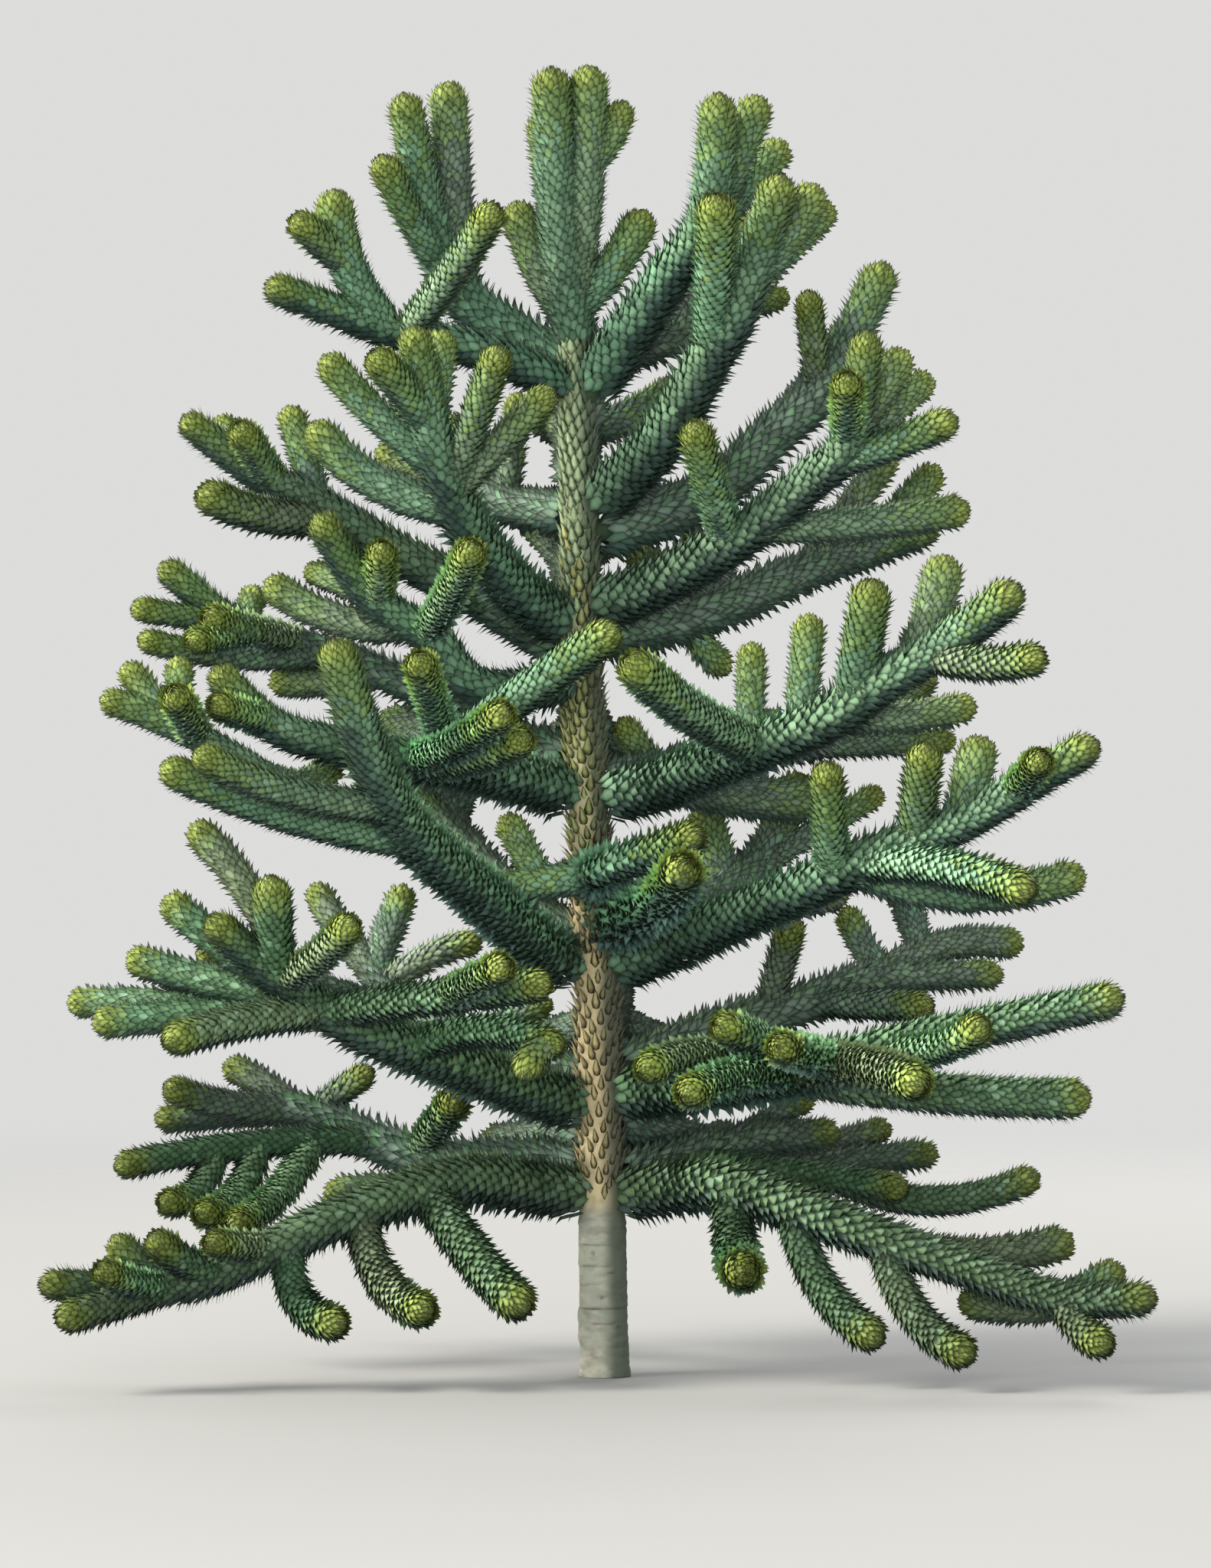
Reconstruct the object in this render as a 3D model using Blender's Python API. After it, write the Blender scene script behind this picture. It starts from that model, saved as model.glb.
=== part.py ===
# Young monkey puzzle tree: a scaly trunk, tiers of leafy boughs round it, and on
# each bough a cluster of thick shoots clothed in sharp overlapping leaves.
# Metres, Z up. The origin is the middle of the foot, on the ground, and +Y is away
# from the viewer, so the tree is seen in the drawing's own view along +Y.

import math

import bmesh
import bpy
import numpy as np
from mathutils import Vector

# Where the viewer stands. Every place in the tables below is (across, up, depth):
# across and up are read in the plane of the trunk, and depth is then the limb's
# distance behind that plane.
EYE_HEIGHT = 1.268
VIEW_DISTANCE = 14.0

# Gap between solids that meet
GAP = 0.0003

# The trunk: lean of its middle line and radius of its core, each by height
TRUNK_TOP = 2.22
TRUNK_LEAN = ((0.0, 0.0), (0.35, -0.006), (0.85, -0.017), (1.44, -0.047), (2.22, -0.062))
TRUNK_RADIUS = ((0.0, 0.0565), (0.03, 0.0535), (0.12, 0.0515), (0.33, 0.0515),
                (0.37, 0.046), (1.2, 0.041), (2.22, 0.034))
BARE_HEIGHTS = (0.03, 0.12, 0.22, 0.33)
LEAFY_FROM = 0.37
TRUNK_SIDES = 8
TRUNK_LEAF_PITCH = 0.072
TRUNK_LEAF_STAND = 0.013

# The leafy limbs: width is measured over the leaf blades, the sharp leaf points
# stand out of it, and the core is what the whorls of leaves leave between them.
LIMB_SIDES = 4
BOUGH_LEAF_PITCH = 0.12
SHOOT_LEAF_PITCH = 0.121
LEAF_STAND = 0.010
CORE_SHARE = 0.40
LEAF_POINT = 0.92

# The last whorl closes in to a round tip
LAST_POINT = 0.72
LAST_STAND = 0.86

# Roots: how wide a limb starts, how slim its core is among the others at the trunk
# and how fast it fills out, and how narrow a shoot starts inside its parent
BOUGH_ROOT_WIDTH = 0.108
STEM_ROOT_SWELL = 1.25
ROOT_CORE = 0.026
ROOT_CORE_SPREAD = 0.07
SHOOT_ROOT_SHARE = 0.5
LEADER_SINK = 0.01

# Room that leaf points leave round the trunk and round the other limbs
TRUNK_ROOM = 0.062
TRUNK_TOP_ROOM = 0.02
SAME_CLUSTER_ROOM = 0.004
OTHER_CLUSTER_ROOM = 0.006

# Colour and roughness of each finish
BARK = ((0.42, 0.36, 0.27), 0.85)
BOUGH_LEAVES = ((0.06, 0.16, 0.09), 0.6)
SHOOT_LEAVES = ((0.10, 0.26, 0.12), 0.55)
CROWN_LEAVES = ((0.17, 0.33, 0.12), 0.55)
SMOOTH_ANGLE = math.radians(25)


def shoot(leave, tip, bow=0.0, width=0.062, on=0):
    """A shoot leaves limb `on` of its cluster (0 is the bough's own line) at a
    share of that limb's length. Its middle stands off the straight line by `bow`,
    upward positive, so a negative bow turns the tip up."""
    return {"leave": leave, "tip": tip, "bow": bow, "width": width, "on": on}


def limb(name, height, way, width, shoots, bough_end=None):
    """A limb leaves the trunk at `height` and runs through the points of `way`.
    The bough is its first part, up to the share `bough_end`; the rest and all the
    shoots are one foliage cluster. With no bough_end the cluster starts at the
    trunk."""
    return {"name": name, "height": height, "way": way, "width": width,
            "shoots": shoots, "bough_end": bough_end}


LOWEST_TIER = [
    limb("low_left_front", 0.38,
         [(-0.16, 0.405, -0.065), (-0.33, 0.415, -0.17), (-0.60, 0.325, -0.32),
          (-0.90, 0.195, -0.38), (-1.205, 0.195, -0.42)], 0.060,
         [shoot(0.33, (-0.17, 0.14, -0.40), -0.015, 0.080),
          shoot(0.46, (-0.375, 0.135, -0.46), -0.055, 0.070),
          shoot(0.59, (-0.56, 0.11, -0.44), -0.060, 0.068),
          shoot(0.78, (-1.05, 0.295, -0.34), -0.015),
          shoot(0.71, (-0.97, 0.30, -0.47), -0.015),
          shoot(0.80, (-1.17, 0.12, -0.50), 0.0, 0.066),
          shoot(0.80, (-1.085, 0.23, -0.54), -0.010, 0.056),
          shoot(0.62, (-0.85, 0.285, -0.50), 0.0, 0.056),
          shoot(0.36, (-0.59, 0.385, -0.12), 0.010)], 0.26),
    limb("low_right_front", 0.38,
         [(0.15, 0.405, -0.06), (0.28, 0.405, -0.15), (0.52, 0.32, -0.28),
          (0.78, 0.23, -0.34), (0.98, 0.165, -0.38), (1.175, 0.165, -0.42)], 0.066,
         [shoot(0.25, (0.30, 0.22, -0.34), -0.058, 0.084),
          shoot(0.37, (0.59, 0.075, -0.34), -0.045, 0.072),
          shoot(0.54, (0.785, 0.04, -0.42), -0.045, 0.070),
          shoot(0.60, (0.995, 0.29, -0.18), -0.020, 0.070),
          shoot(0.85, (1.10, 0.23, -0.30), -0.010, 0.066),
          shoot(0.85, (1.08, 0.06, -0.46), -0.015, 0.066),
          shoot(0.86, (0.77, 0.165, -0.22), -0.015, 0.066)], 0.19),
    limb("low_left_back", 0.42,
         [(-0.17, 0.45, 0.13), (-0.37, 0.465, 0.225), (-0.52, 0.515, 0.30),
          (-0.66, 0.57, 0.36), (-0.955, 0.55, 0.44)], 0.056,
         [shoot(0.43, (-0.31, 0.60, 0.06), 0.005, 0.066),
          shoot(0.72, (-0.94, 0.62, 0.32), -0.015),
          shoot(0.70, (-0.805, 0.665, 0.50), 0.005, 0.056),
          shoot(0.68, (-0.50, 0.655, 0.34), 0.0, 0.056),
          shoot(0.52, (-1.045, 0.447, 0.10), 0.020, 0.058),
          shoot(0.62, (-0.95, 0.37, 0.06), -0.040, 0.056, on=5),
          shoot(0.46, (-0.87, 0.345, 0.02), -0.045, on=5),
          shoot(0.25, (-0.80, 0.32, -0.02), -0.030, on=5)], 0.34),
    limb("low_right_back", 0.412,
         [(0.118, 0.443, 0.106), (0.22, 0.475, 0.175), (0.34, 0.505, 0.22),
          (0.495, 0.52, 0.26)], 0.060,
         [shoot(0.48, (0.44, 0.595, 0.34), 0.0, 0.045),
          shoot(0.42, (0.645, 0.40, 0.02), 0.0),
          shoot(0.70, (0.925, 0.43, 0.08), -0.050, on=2)], 0.33),
    limb("low_right_far", 0.55,
         [(0.10, 0.53, 0.16), (0.20, 0.50, 0.32), (0.38, 0.455, 0.46),
          (0.705, 0.475, 0.60)], 0.056,
         [shoot(0.60, (0.605, 0.53, 0.62), 0.0, 0.052),
          shoot(0.40, (0.26, 0.515, 0.76), -0.010)]),
    limb("low_left_far", 0.52,
         [(-0.09, 0.525, 0.20), (-0.15, 0.51, 0.42), (-0.245, 0.50, 0.66)], 0.056,
         [shoot(0.50, (-0.14, 0.46, 0.62), 0.0, 0.056),
          shoot(0.45, (-0.11, 0.62, 0.72), -0.010)]),
    limb("low_back", 0.46,
         [(0.01, 0.49, 0.22), (0.03, 0.53, 0.50), (0.02, 0.57, 0.92)], 0.062,
         [shoot(0.45, (0.11, 0.53, 0.76), -0.010),
          shoot(0.50, (-0.09, 0.61, 0.84), -0.015)]),
]

SECOND_TIER = [
    limb("second_left_front", 0.57,
         [(-0.13, 0.60, -0.065), (-0.30, 0.66, -0.19), (-0.50, 0.73, -0.34),
          (-0.63, 0.80, -0.38), (-0.72, 0.87, -0.42), (-0.845, 0.975, -0.46)], 0.066,
         [shoot(0.70, (-0.94, 0.715, -0.58), 0.010, 0.066),
          shoot(0.68, (-1.09, 0.755, -0.26), 0.010),
          shoot(0.74, (-1.14, 0.80, -0.10), 0.0, 0.056),
          shoot(0.76, (-1.015, 0.895, -0.22), -0.010),
          shoot(0.82, (-0.935, 1.02, -0.26), -0.010),
          shoot(0.82, (-0.715, 1.065, -0.50), -0.010, 0.074),
          shoot(0.45, (-0.88, 1.175, -0.36), 0.015, on=6),
          shoot(0.81, (-0.54, 0.975, -0.60), -0.015),
          shoot(0.70, (-0.12, 0.84, -0.62), 0.0, 0.066),
          shoot(0.55, (-0.21, 0.88, -0.72), 0.0, on=9),
          shoot(0.48, (-0.095, 0.70, -0.48), 0.040),
          shoot(0.92, (-0.175, 0.64, -0.50), 0.010, on=11)], 0.40),
    limb("second_right_front", 0.60,
         [(0.14, 0.615, -0.065), (0.29, 0.635, -0.21), (0.45, 0.66, -0.38),
          (0.62, 0.705, -0.46), (1.105, 0.81, -0.52)], 0.070,
         [shoot(0.36, (0.08, 0.65, -0.62), 0.040, 0.066),
          shoot(0.42, (0.17, 0.60, -0.72), 0.020, 0.066),
          shoot(0.46, (0.24, 0.75, -0.56), 0.010, 0.066),
          shoot(0.52, (0.37, 0.705, -0.76), 0.0, 0.066),
          shoot(0.44, (0.68, 0.62, -0.74), 0.025, 0.078),
          shoot(0.60, (0.815, 0.755, -0.66), -0.025),
          shoot(0.40, (1.035, 0.595, -0.32), -0.015, 0.080)], 0.28),
    limb("second_right_back", 0.64,
         [(0.12, 0.685, 0.12), (0.25, 0.74, 0.22), (0.42, 0.795, 0.32),
          (0.58, 0.85, 0.40), (0.845, 0.86, 0.48)], 0.056,
         [shoot(0.46, (0.405, 0.98, 0.22), 0.005),
          shoot(0.56, (0.70, 0.79, 0.20)),
          shoot(0.74, (0.515, 0.995, 0.50), 0.0, 0.056),
          shoot(0.72, (0.885, 0.925, 0.60), 0.035),
          shoot(0.35, (0.625, 1.05, 0.66), 0.012, 0.054, on=4)], 0.36),
    limb("second_left_back", 0.63,
         [(-0.14, 0.67, 0.18), (-0.30, 0.73, 0.36), (-0.48, 0.84, 0.54),
          (-0.43, 1.04, 0.70)], 0.056,
         [shoot(0.76, (-0.62, 1.045, 0.76), -0.010, 0.056),
          shoot(0.72, (-0.27, 0.93, 0.60), 0.020, 0.056),
          shoot(0.45, (-0.12, 0.80, 0.46), 0.0, 0.050),
          shoot(0.62, (-0.87, 0.905, 0.44), 0.0, 0.052)]),
    limb("second_back", 0.75,
         [(-0.01, 0.76, 0.24), (0.01, 0.79, 0.54), (0.02, 0.84, 0.88)], 0.062,
         [shoot(0.55, (0.12, 0.72, 0.80), -0.010),
          shoot(0.50, (-0.13, 0.73, 0.78), -0.010)]),
]

THIRD_TIER = [
    limb("third_left_front", 0.86,
         [(-0.12, 0.905, -0.06), (-0.25, 1.02, -0.24), (-0.40, 1.15, -0.41),
          (-0.48, 1.27, -0.52), (-0.53, 1.40, -0.58), (-0.58, 1.57, -0.62)], 0.078,
         [shoot(0.55, (-0.945, 1.305, -0.44), -0.025, 0.068),
          shoot(0.66, (-0.875, 1.335, -0.62), -0.030, 0.062),
          shoot(0.35, (-1.075, 1.45, -0.38), 0.030, 0.056, on=1),
          shoot(0.72, (-1.025, 1.52, -0.34), 0.0, 0.054, on=3),
          shoot(0.70, (-0.91, 1.53, -0.28), 0.0, 0.050, on=3),
          shoot(0.60, (-0.925, 1.465, -0.56), 0.0, on=3),
          shoot(0.35, (-0.575, 1.315, -0.20), -0.040, 0.052, on=3)], 0.45),
    limb("third_right_front", 0.86,
         [(0.13, 0.92, -0.05), (0.28, 0.985, -0.15), (0.45, 1.055, -0.27),
          (0.60, 1.125, -0.34), (0.77, 1.19, -0.38), (1.05, 1.355, -0.44)], 0.068,
         [shoot(0.50, (0.475, 1.31, -0.44), -0.015, 0.066),
          shoot(0.65, (0.69, 1.35, -0.46), 0.0, 0.070),
          shoot(0.74, (0.805, 1.36, -0.30), 0.0, 0.076),
          shoot(0.84, (0.94, 1.325, -0.56), 0.0, 0.058),
          shoot(0.55, (0.915, 1.035, -0.56), 0.020, 0.074),
          shoot(0.53, (1.02, 1.075, -0.12), -0.050, 0.070)], 0.40),
    limb("third_front_left", 1.07,
         [(-0.02, 1.07, -0.12), (0.0, 1.085, -0.26), (0.205, 1.16, -0.40)], 0.066,
         [shoot(0.35, (-0.25, 1.04, -0.125), 0.0, 0.068),
          shoot(0.50, (-0.21, 1.195, -0.06), 0.0, 0.056, on=1)]),
    limb("third_front_right", 0.97,
         [(0.06, 0.985, -0.16), (0.13, 1.03, -0.32), (0.175, 1.095, -0.46)], 0.086, []),
    limb("third_right_back", 0.96,
         [(0.12, 0.985, 0.16), (0.25, 1.04, 0.34), (0.34, 1.11, 0.46),
          (0.42, 1.28, 0.58)], 0.070,
         [shoot(0.55, (0.21, 1.215, 0.44), 0.0, 0.074),
          shoot(0.68, (0.59, 1.25, 0.60), 0.0, 0.048),
          shoot(0.50, (0.50, 1.03, 0.78), -0.010)]),
    limb("third_left_back", 0.93,
         [(-0.12, 0.97, 0.14), (-0.25, 1.08, 0.32), (-0.34, 1.20, 0.48),
          (-0.34, 1.35, 0.64)], 0.062,
         [shoot(0.55, (-0.45, 1.28, 0.50), 0.0),
          shoot(0.72, (-0.27, 1.35, 0.70)),
          shoot(0.45, (-0.34, 1.08, 0.68), -0.010)]),
    limb("third_back", 1.03,
         [(0.0, 1.03, 0.24), (-0.01, 1.06, 0.52), (-0.02, 1.12, 0.84)], 0.062,
         [shoot(0.50, (0.06, 1.0, 0.78), -0.010),
          shoot(0.50, (-0.09, 1.07, 0.74))]),
]

FOURTH_TIER = [
    limb("fourth_left_front", 1.23,
         [(-0.13, 1.265, -0.055), (-0.27, 1.30, -0.16), (-0.43, 1.32, -0.28),
          (-0.60, 1.355, -0.34), (-0.72, 1.40, -0.36), (-0.835, 1.51, -0.36)], 0.062,
         [shoot(0.50, (-0.21, 1.425, -0.60), -0.015, 0.064),
          shoot(0.47, (-0.165, 1.37, -0.50), -0.020, 0.064),
          shoot(0.44, (0.025, 1.60, -0.38), 0.005, 0.074),
          shoot(0.38, (-0.40, 1.54, -0.50), 0.0, 0.064),
          shoot(0.83, (-0.84, 1.44, -0.50), 0.0, 0.056)], 0.27),
    limb("fourth_left_middle", 1.51,
         [(-0.14, 1.475, -0.06), (-0.28, 1.48, -0.08), (-0.37, 1.58, -0.08),
          (-0.50, 1.67, -0.08), (-0.615, 1.84, -0.12)], 0.066,
         [shoot(0.58, (-0.72, 1.70, 0.06), -0.033, 0.064),
          shoot(0.70, (-0.475, 1.78, -0.20)),
          shoot(0.74, (-0.63, 1.725, 0.08), 0.0, 0.046),
          shoot(0.54, (-0.28, 1.78, -0.36), -0.010, 0.064)]),
    limb("fourth_left_back", 1.31,
         [(-0.14, 1.35, 0.10), (-0.30, 1.42, 0.18), (-0.46, 1.50, 0.24),
          (-0.62, 1.56, 0.28), (-0.78, 1.605, 0.30), (-0.945, 1.735, 0.32)], 0.060,
         [shoot(0.81, (-1.01, 1.645, 0.26), 0.0, 0.052),
          shoot(0.80, (-0.75, 1.68, 0.40), 0.0, 0.050),
          shoot(0.68, (-0.855, 1.625, 0.04), 0.0),
          shoot(0.50, (-0.89, 1.57, 0.0), 0.0, 0.056, on=3),
          shoot(0.62, (-0.995, 1.58, 0.20), -0.025, 0.052),
          shoot(0.50, (-0.71, 1.49, 0.36), -0.010),
          shoot(0.35, (-0.33, 1.52, 0.60), -0.010),
          shoot(0.30, (-0.46, 1.395, 0.52), -0.015, 0.080)]),
    limb("fourth_right_front", 1.23,
         [(0.11, 1.265, -0.05), (0.23, 1.31, -0.14), (0.36, 1.36, -0.25),
          (0.48, 1.41, -0.32), (0.60, 1.49, -0.36), (0.74, 1.575, -0.38),
          (0.885, 1.685, -0.42)], 0.076,
         [shoot(0.40, (0.05, 1.535, -0.52), -0.020, 0.080),
          shoot(0.38, (0.315, 1.565, -0.14), 0.0, 0.056),
          shoot(0.50, (0.44, 1.625, -0.22)),
          shoot(0.62, (0.575, 1.70, -0.42), 0.0, 0.080),
          shoot(0.76, (0.73, 1.75, -0.26), -0.015, 0.078),
          shoot(0.79, (0.94, 1.54, -0.50), -0.015, 0.066),
          shoot(0.58, (0.785, 1.435, -0.14), -0.015, 0.056)], 0.31),
    limb("fourth_right_back", 1.27,
         [(0.12, 1.30, 0.16), (0.27, 1.33, 0.32), (0.45, 1.355, 0.44),
          (0.58, 1.41, 0.52), (0.70, 1.495, 0.58)], 0.054,
         [shoot(0.62, (0.745, 1.36, 0.54), 0.0, 0.052),
          shoot(0.22, (0.035, 1.405, 0.18), -0.005, 0.058),
          shoot(0.45, (0.36, 1.40, 0.70), -0.010),
          shoot(0.16, (0.47, 1.235, 0.36), -0.020, 0.084)]),
    limb("fourth_back", 1.37,
         [(-0.04, 1.39, 0.22), (-0.05, 1.43, 0.48), (-0.05, 1.50, 0.76)], 0.062,
         [shoot(0.50, (-0.15, 1.33, 0.70), -0.010),
          shoot(0.50, (0.10, 1.30, 0.70), -0.010)]),
]

FIFTH_TIER = [
    limb("fifth_left_front", 1.555,
         [(-0.14, 1.60, 0.05), (-0.28, 1.68, 0.09), (-0.45, 1.765, 0.10),
          (-0.62, 1.87, 0.08), (-0.74, 1.93, 0.06), (-0.90, 2.05, 0.04)], 0.060,
         [shoot(0.66, (-0.675, 2.07, 0.18), 0.0, 0.056),
          shoot(0.76, (-0.785, 2.035, -0.06), 0.0),
          shoot(0.78, (-0.825, 2.045, 0.20), 0.0, 0.052),
          shoot(0.62, (-0.865, 1.895, -0.06), -0.028, 0.074),
          shoot(0.56, (-0.58, 1.80, 0.44), -0.010)], 0.50),
    limb("fifth_right_front", 1.635,
         [(0.08, 1.685, -0.045), (0.20, 1.745, -0.11), (0.32, 1.82, -0.17),
          (0.44, 1.92, -0.22), (0.52, 2.0, -0.26), (0.565, 2.23, -0.30)], 0.066,
         [shoot(0.40, (0.19, 2.04, -0.34), -0.010, 0.066),
          shoot(0.46, (0.775, 1.855, -0.06), -0.010, 0.066),
          shoot(0.76, (0.52, 2.14, -0.42)),
          shoot(0.78, (0.64, 2.19, -0.18), 0.0, 0.064),
          shoot(0.74, (0.69, 2.135, -0.06), 0.0, 0.056),
          shoot(0.70, (0.75, 2.05, -0.28), -0.005, 0.066)], 0.31),
    limb("fifth_right_back", 1.59,
         [(0.10, 1.61, 0.12), (0.28, 1.66, 0.26), (0.42, 1.72, 0.36),
          (0.56, 1.765, 0.44), (0.705, 1.815, 0.50)], 0.060,
         [shoot(0.30, (0.26, 1.515, 0.26), -0.015, 0.056),
          shoot(0.66, (0.61, 1.975, 0.52)),
          shoot(0.82, (0.71, 1.94, 0.56)),
          shoot(0.35, (0.06, 1.77, 0.34), 0.0, 0.068),
          shoot(0.45, (0.18, 1.80, 0.44), 0.0, 0.056)], 0.22),
    limb("fifth_back", 1.65,
         [(-0.06, 1.70, 0.20), (-0.07, 1.78, 0.42), (-0.07, 1.90, 0.64)], 0.062,
         [shoot(0.50, (-0.16, 1.85, 0.58), -0.010),
          shoot(0.50, (0.05, 1.84, 0.58), -0.010)]),
]

SIXTH_TIER = [
    limb("sixth_left_front", 1.60,
         [(-0.15, 1.65, -0.055), (-0.24, 1.74, -0.14), (-0.32, 1.87, -0.23),
          (-0.37, 2.02, -0.29), (-0.41, 2.24, -0.30)], 0.066,
         [shoot(0.76, (-0.495, 2.19, -0.40), 0.0, 0.066),
          shoot(0.75, (-0.35, 2.23, -0.18)),
          shoot(0.64, (-0.60, 2.18, -0.22), -0.010, 0.064),
          shoot(0.52, (-0.625, 2.035, -0.12), -0.038, 0.072),
          shoot(0.58, (-0.225, 2.20, -0.38), 0.0),
          shoot(0.57, (-0.115, 2.11, -0.26), 0.0)], 0.42),
    limb("sixth_left_back", 1.84,
         [(-0.13, 1.855, 0.14), (-0.22, 1.875, 0.28), (-0.34, 2.04, 0.56)], 0.060,
         [shoot(0.45, (-0.185, 2.10, 0.36), 0.0, 0.052),
          shoot(0.60, (-0.48, 1.98, 0.52), -0.010)]),
    limb("sixth_right_front", 1.84,
         [(0.05, 1.93, -0.045), (0.14, 2.035, -0.12), (0.22, 2.175, -0.20),
          (0.29, 2.295, -0.26), (0.38, 2.565, -0.30)], 0.074,
         [shoot(0.55, (0.24, 2.525, -0.42), 0.0, 0.078),
          shoot(0.76, (0.45, 2.545, -0.20), -0.010, 0.070),
          shoot(0.72, (0.48, 2.50, -0.06), 0.0, 0.052)], 0.46),
    limb("sixth_right_back", 1.80,
         [(0.10, 1.84, 0.10), (0.23, 1.89, 0.18), (0.355, 2.01, 0.24),
          (0.475, 2.125, 0.29), (0.60, 2.375, 0.34)], 0.074,
         [shoot(0.68, (0.435, 2.32, 0.22), 0.0, 0.056),
          shoot(0.50, (0.53, 2.25, 0.52), -0.010)], 0.44),
    limb("sixth_back", 1.92,
         [(-0.06, 1.97, 0.18), (-0.06, 2.06, 0.36), (-0.06, 2.22, 0.52)], 0.062,
         [shoot(0.50, (0.16, 2.12, 0.42), -0.015, 0.070),
          shoot(0.50, (-0.15, 2.06, 0.46), -0.010, 0.056)]),
]

TOP_TIER = [
    limb("top_left_back", 2.125,
         [(-0.15, 2.20, 0.08), (-0.30, 2.31, 0.13), (-0.37, 2.455, 0.14),
          (-0.43, 2.74, 0.13)], 0.066,
         [shoot(0.44, (-0.335, 2.765, 0.22), -0.010, 0.076),
          shoot(0.52, (-0.48, 2.61, 0.04), -0.010, 0.064),
          shoot(0.40, (-0.39, 2.50, 0.40), -0.010)], 0.31),
    limb("top_left_front", 2.09,
         [(-0.15, 2.15, -0.05), (-0.30, 2.205, -0.08), (-0.46, 2.24, -0.09),
          (-0.72, 2.335, -0.15)], 0.064,
         [shoot(0.62, (-0.58, 2.535, -0.12), -0.030, 0.076),
          shoot(0.50, (-0.665, 2.48, -0.20), 0.0, on=1),
          shoot(0.57, (-0.235, 2.505, -0.30), -0.010, 0.064)]),
    limb("top_right_front", 2.07,
         [(0.03, 2.20, -0.045), (0.14, 2.36, -0.12), (0.22, 2.48, -0.18),
          (0.245, 2.74, -0.20)], 0.070,
         [shoot(0.60, (0.33, 2.735, -0.10), -0.005, 0.070),
          shoot(0.56, (0.38, 2.635, 0.02))], 0.34),
    limb("top_right_back", 2.15,
         [(0.05, 2.20, 0.12), (0.18, 2.25, 0.22), (0.31, 2.48, 0.34)], 0.064,
         [shoot(0.55, (0.385, 2.315, 0.36), 0.0, 0.052),
          shoot(0.50, (0.22, 2.50, 0.46), -0.010)]),
    limb("top_back", 2.02,
         [(-0.045, 2.105, 0.12), (-0.07, 2.32, 0.24), (-0.07, 2.52, 0.34)], 0.064,
         [shoot(0.50, (-0.17, 2.45, 0.32), -0.010)]),
]

LEADER = limb("leader", TRUNK_TOP,
              [(-0.085, 2.35, -0.01), (-0.105, 2.55, -0.02), (-0.115, 2.795, -0.03)], 0.076,
              [shoot(0.12, (-0.035, 2.80, -0.01), -0.012, 0.076),
               shoot(0.60, (0.04, 2.725, 0.02), -0.010, on=1),
               shoot(0.10, (-0.19, 2.51, 0.03), -0.015, 0.072),
               shoot(0.12, (0.085, 2.49, 0.05), -0.015, 0.072),
               shoot(0.45, (-0.135, 2.70, 0.08), -0.010),
               shoot(0.40, (-0.06, 2.68, 0.12), -0.015, 0.068)])

LIMBS = (LOWEST_TIER + SECOND_TIER + THIRD_TIER + FOURTH_TIER + FIFTH_TIER
         + SIXTH_TIER + TOP_TIER + [LEADER])


def between(pairs, value):
    """The second number at `value`, read off straight lines between pairs."""
    return float(np.interp(value, [p[0] for p in pairs], [p[1] for p in pairs]))


def trunk_centre(height):
    return Vector((between(TRUNK_LEAN, height), 0.0, height))


def placed(place):
    """A place (across, up, depth) of the tables as a real point: what lies nearer
    the viewer than the trunk is smaller than it looks."""
    across, up, depth = place
    scale = (VIEW_DISTANCE + depth) / VIEW_DISTANCE
    return Vector((across * scale, depth, EYE_HEIGHT + (up - EYE_HEIGHT) * scale))


def smooth_points(knots, steps=12):
    """Points along a smooth curve through the knots."""
    ends = [2 * knots[0] - knots[1]] + knots + [2 * knots[-1] - knots[-2]]
    points = []
    for a, b, c, d in zip(ends, ends[1:], ends[2:], ends[3:]):
        for step in range(steps):
            t = step / steps
            points.append(0.5 * (2 * b + (c - a) * t + (2 * a - 5 * b + 4 * c - d) * t * t
                                 + (3 * b - a - 3 * c + d) * t ** 3))
    return points + [knots[-1]]


def bowed_points(root, tip, bow, steps=16):
    """Points along a shoot from root to tip whose middle stands off by bow."""
    chord = tip - root
    along = chord.normalized()
    lift = (Vector((0, 0, 1)) - along * along.z).normalized()
    handle = (root + tip) / 2 + lift * 2 * bow
    points = []
    for step in range(steps + 1):
        t = step / steps
        points.append((1 - t) ** 2 * root + 2 * t * (1 - t) * handle + t * t * tip)
    return points


class Line:
    """A limb's middle line, with a frame carried along it without twist. The rings
    of an upright line stay level."""

    def __init__(self, points, upright=False):
        self.points = np.array([tuple(p) for p in points])
        steps = np.linalg.norm(np.diff(self.points, axis=0), axis=1)
        self.marks = np.concatenate([[0.0], np.cumsum(steps)])
        self.length = float(self.marks[-1])
        tangents = np.gradient(self.points, self.marks, axis=0)
        if upright:
            tangents[:] = (0.0, 0.0, 1.0)
        self.alongs = tangents / np.linalg.norm(tangents, axis=1)[:, None]
        side = np.cross(self.alongs[0], (0.0, 1.0, 0.3))
        self.sides = []
        for along in self.alongs:
            side = side - along * np.dot(side, along)
            side = side / np.linalg.norm(side)
            self.sides.append(side)
        self.sides = np.array(self.sides)

    def read(self, table, mark):
        return Vector([float(np.interp(mark, self.marks, table[:, k])) for k in range(3)])

    def frame(self, mark):
        """Point, along, side and up at a distance from the line's start."""
        along = self.read(self.alongs, mark).normalized()
        side = self.read(self.sides, mark)
        side = (side - along * side.dot(along)).normalized()
        return self.read(self.points, mark), along, side, along.cross(side)


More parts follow.
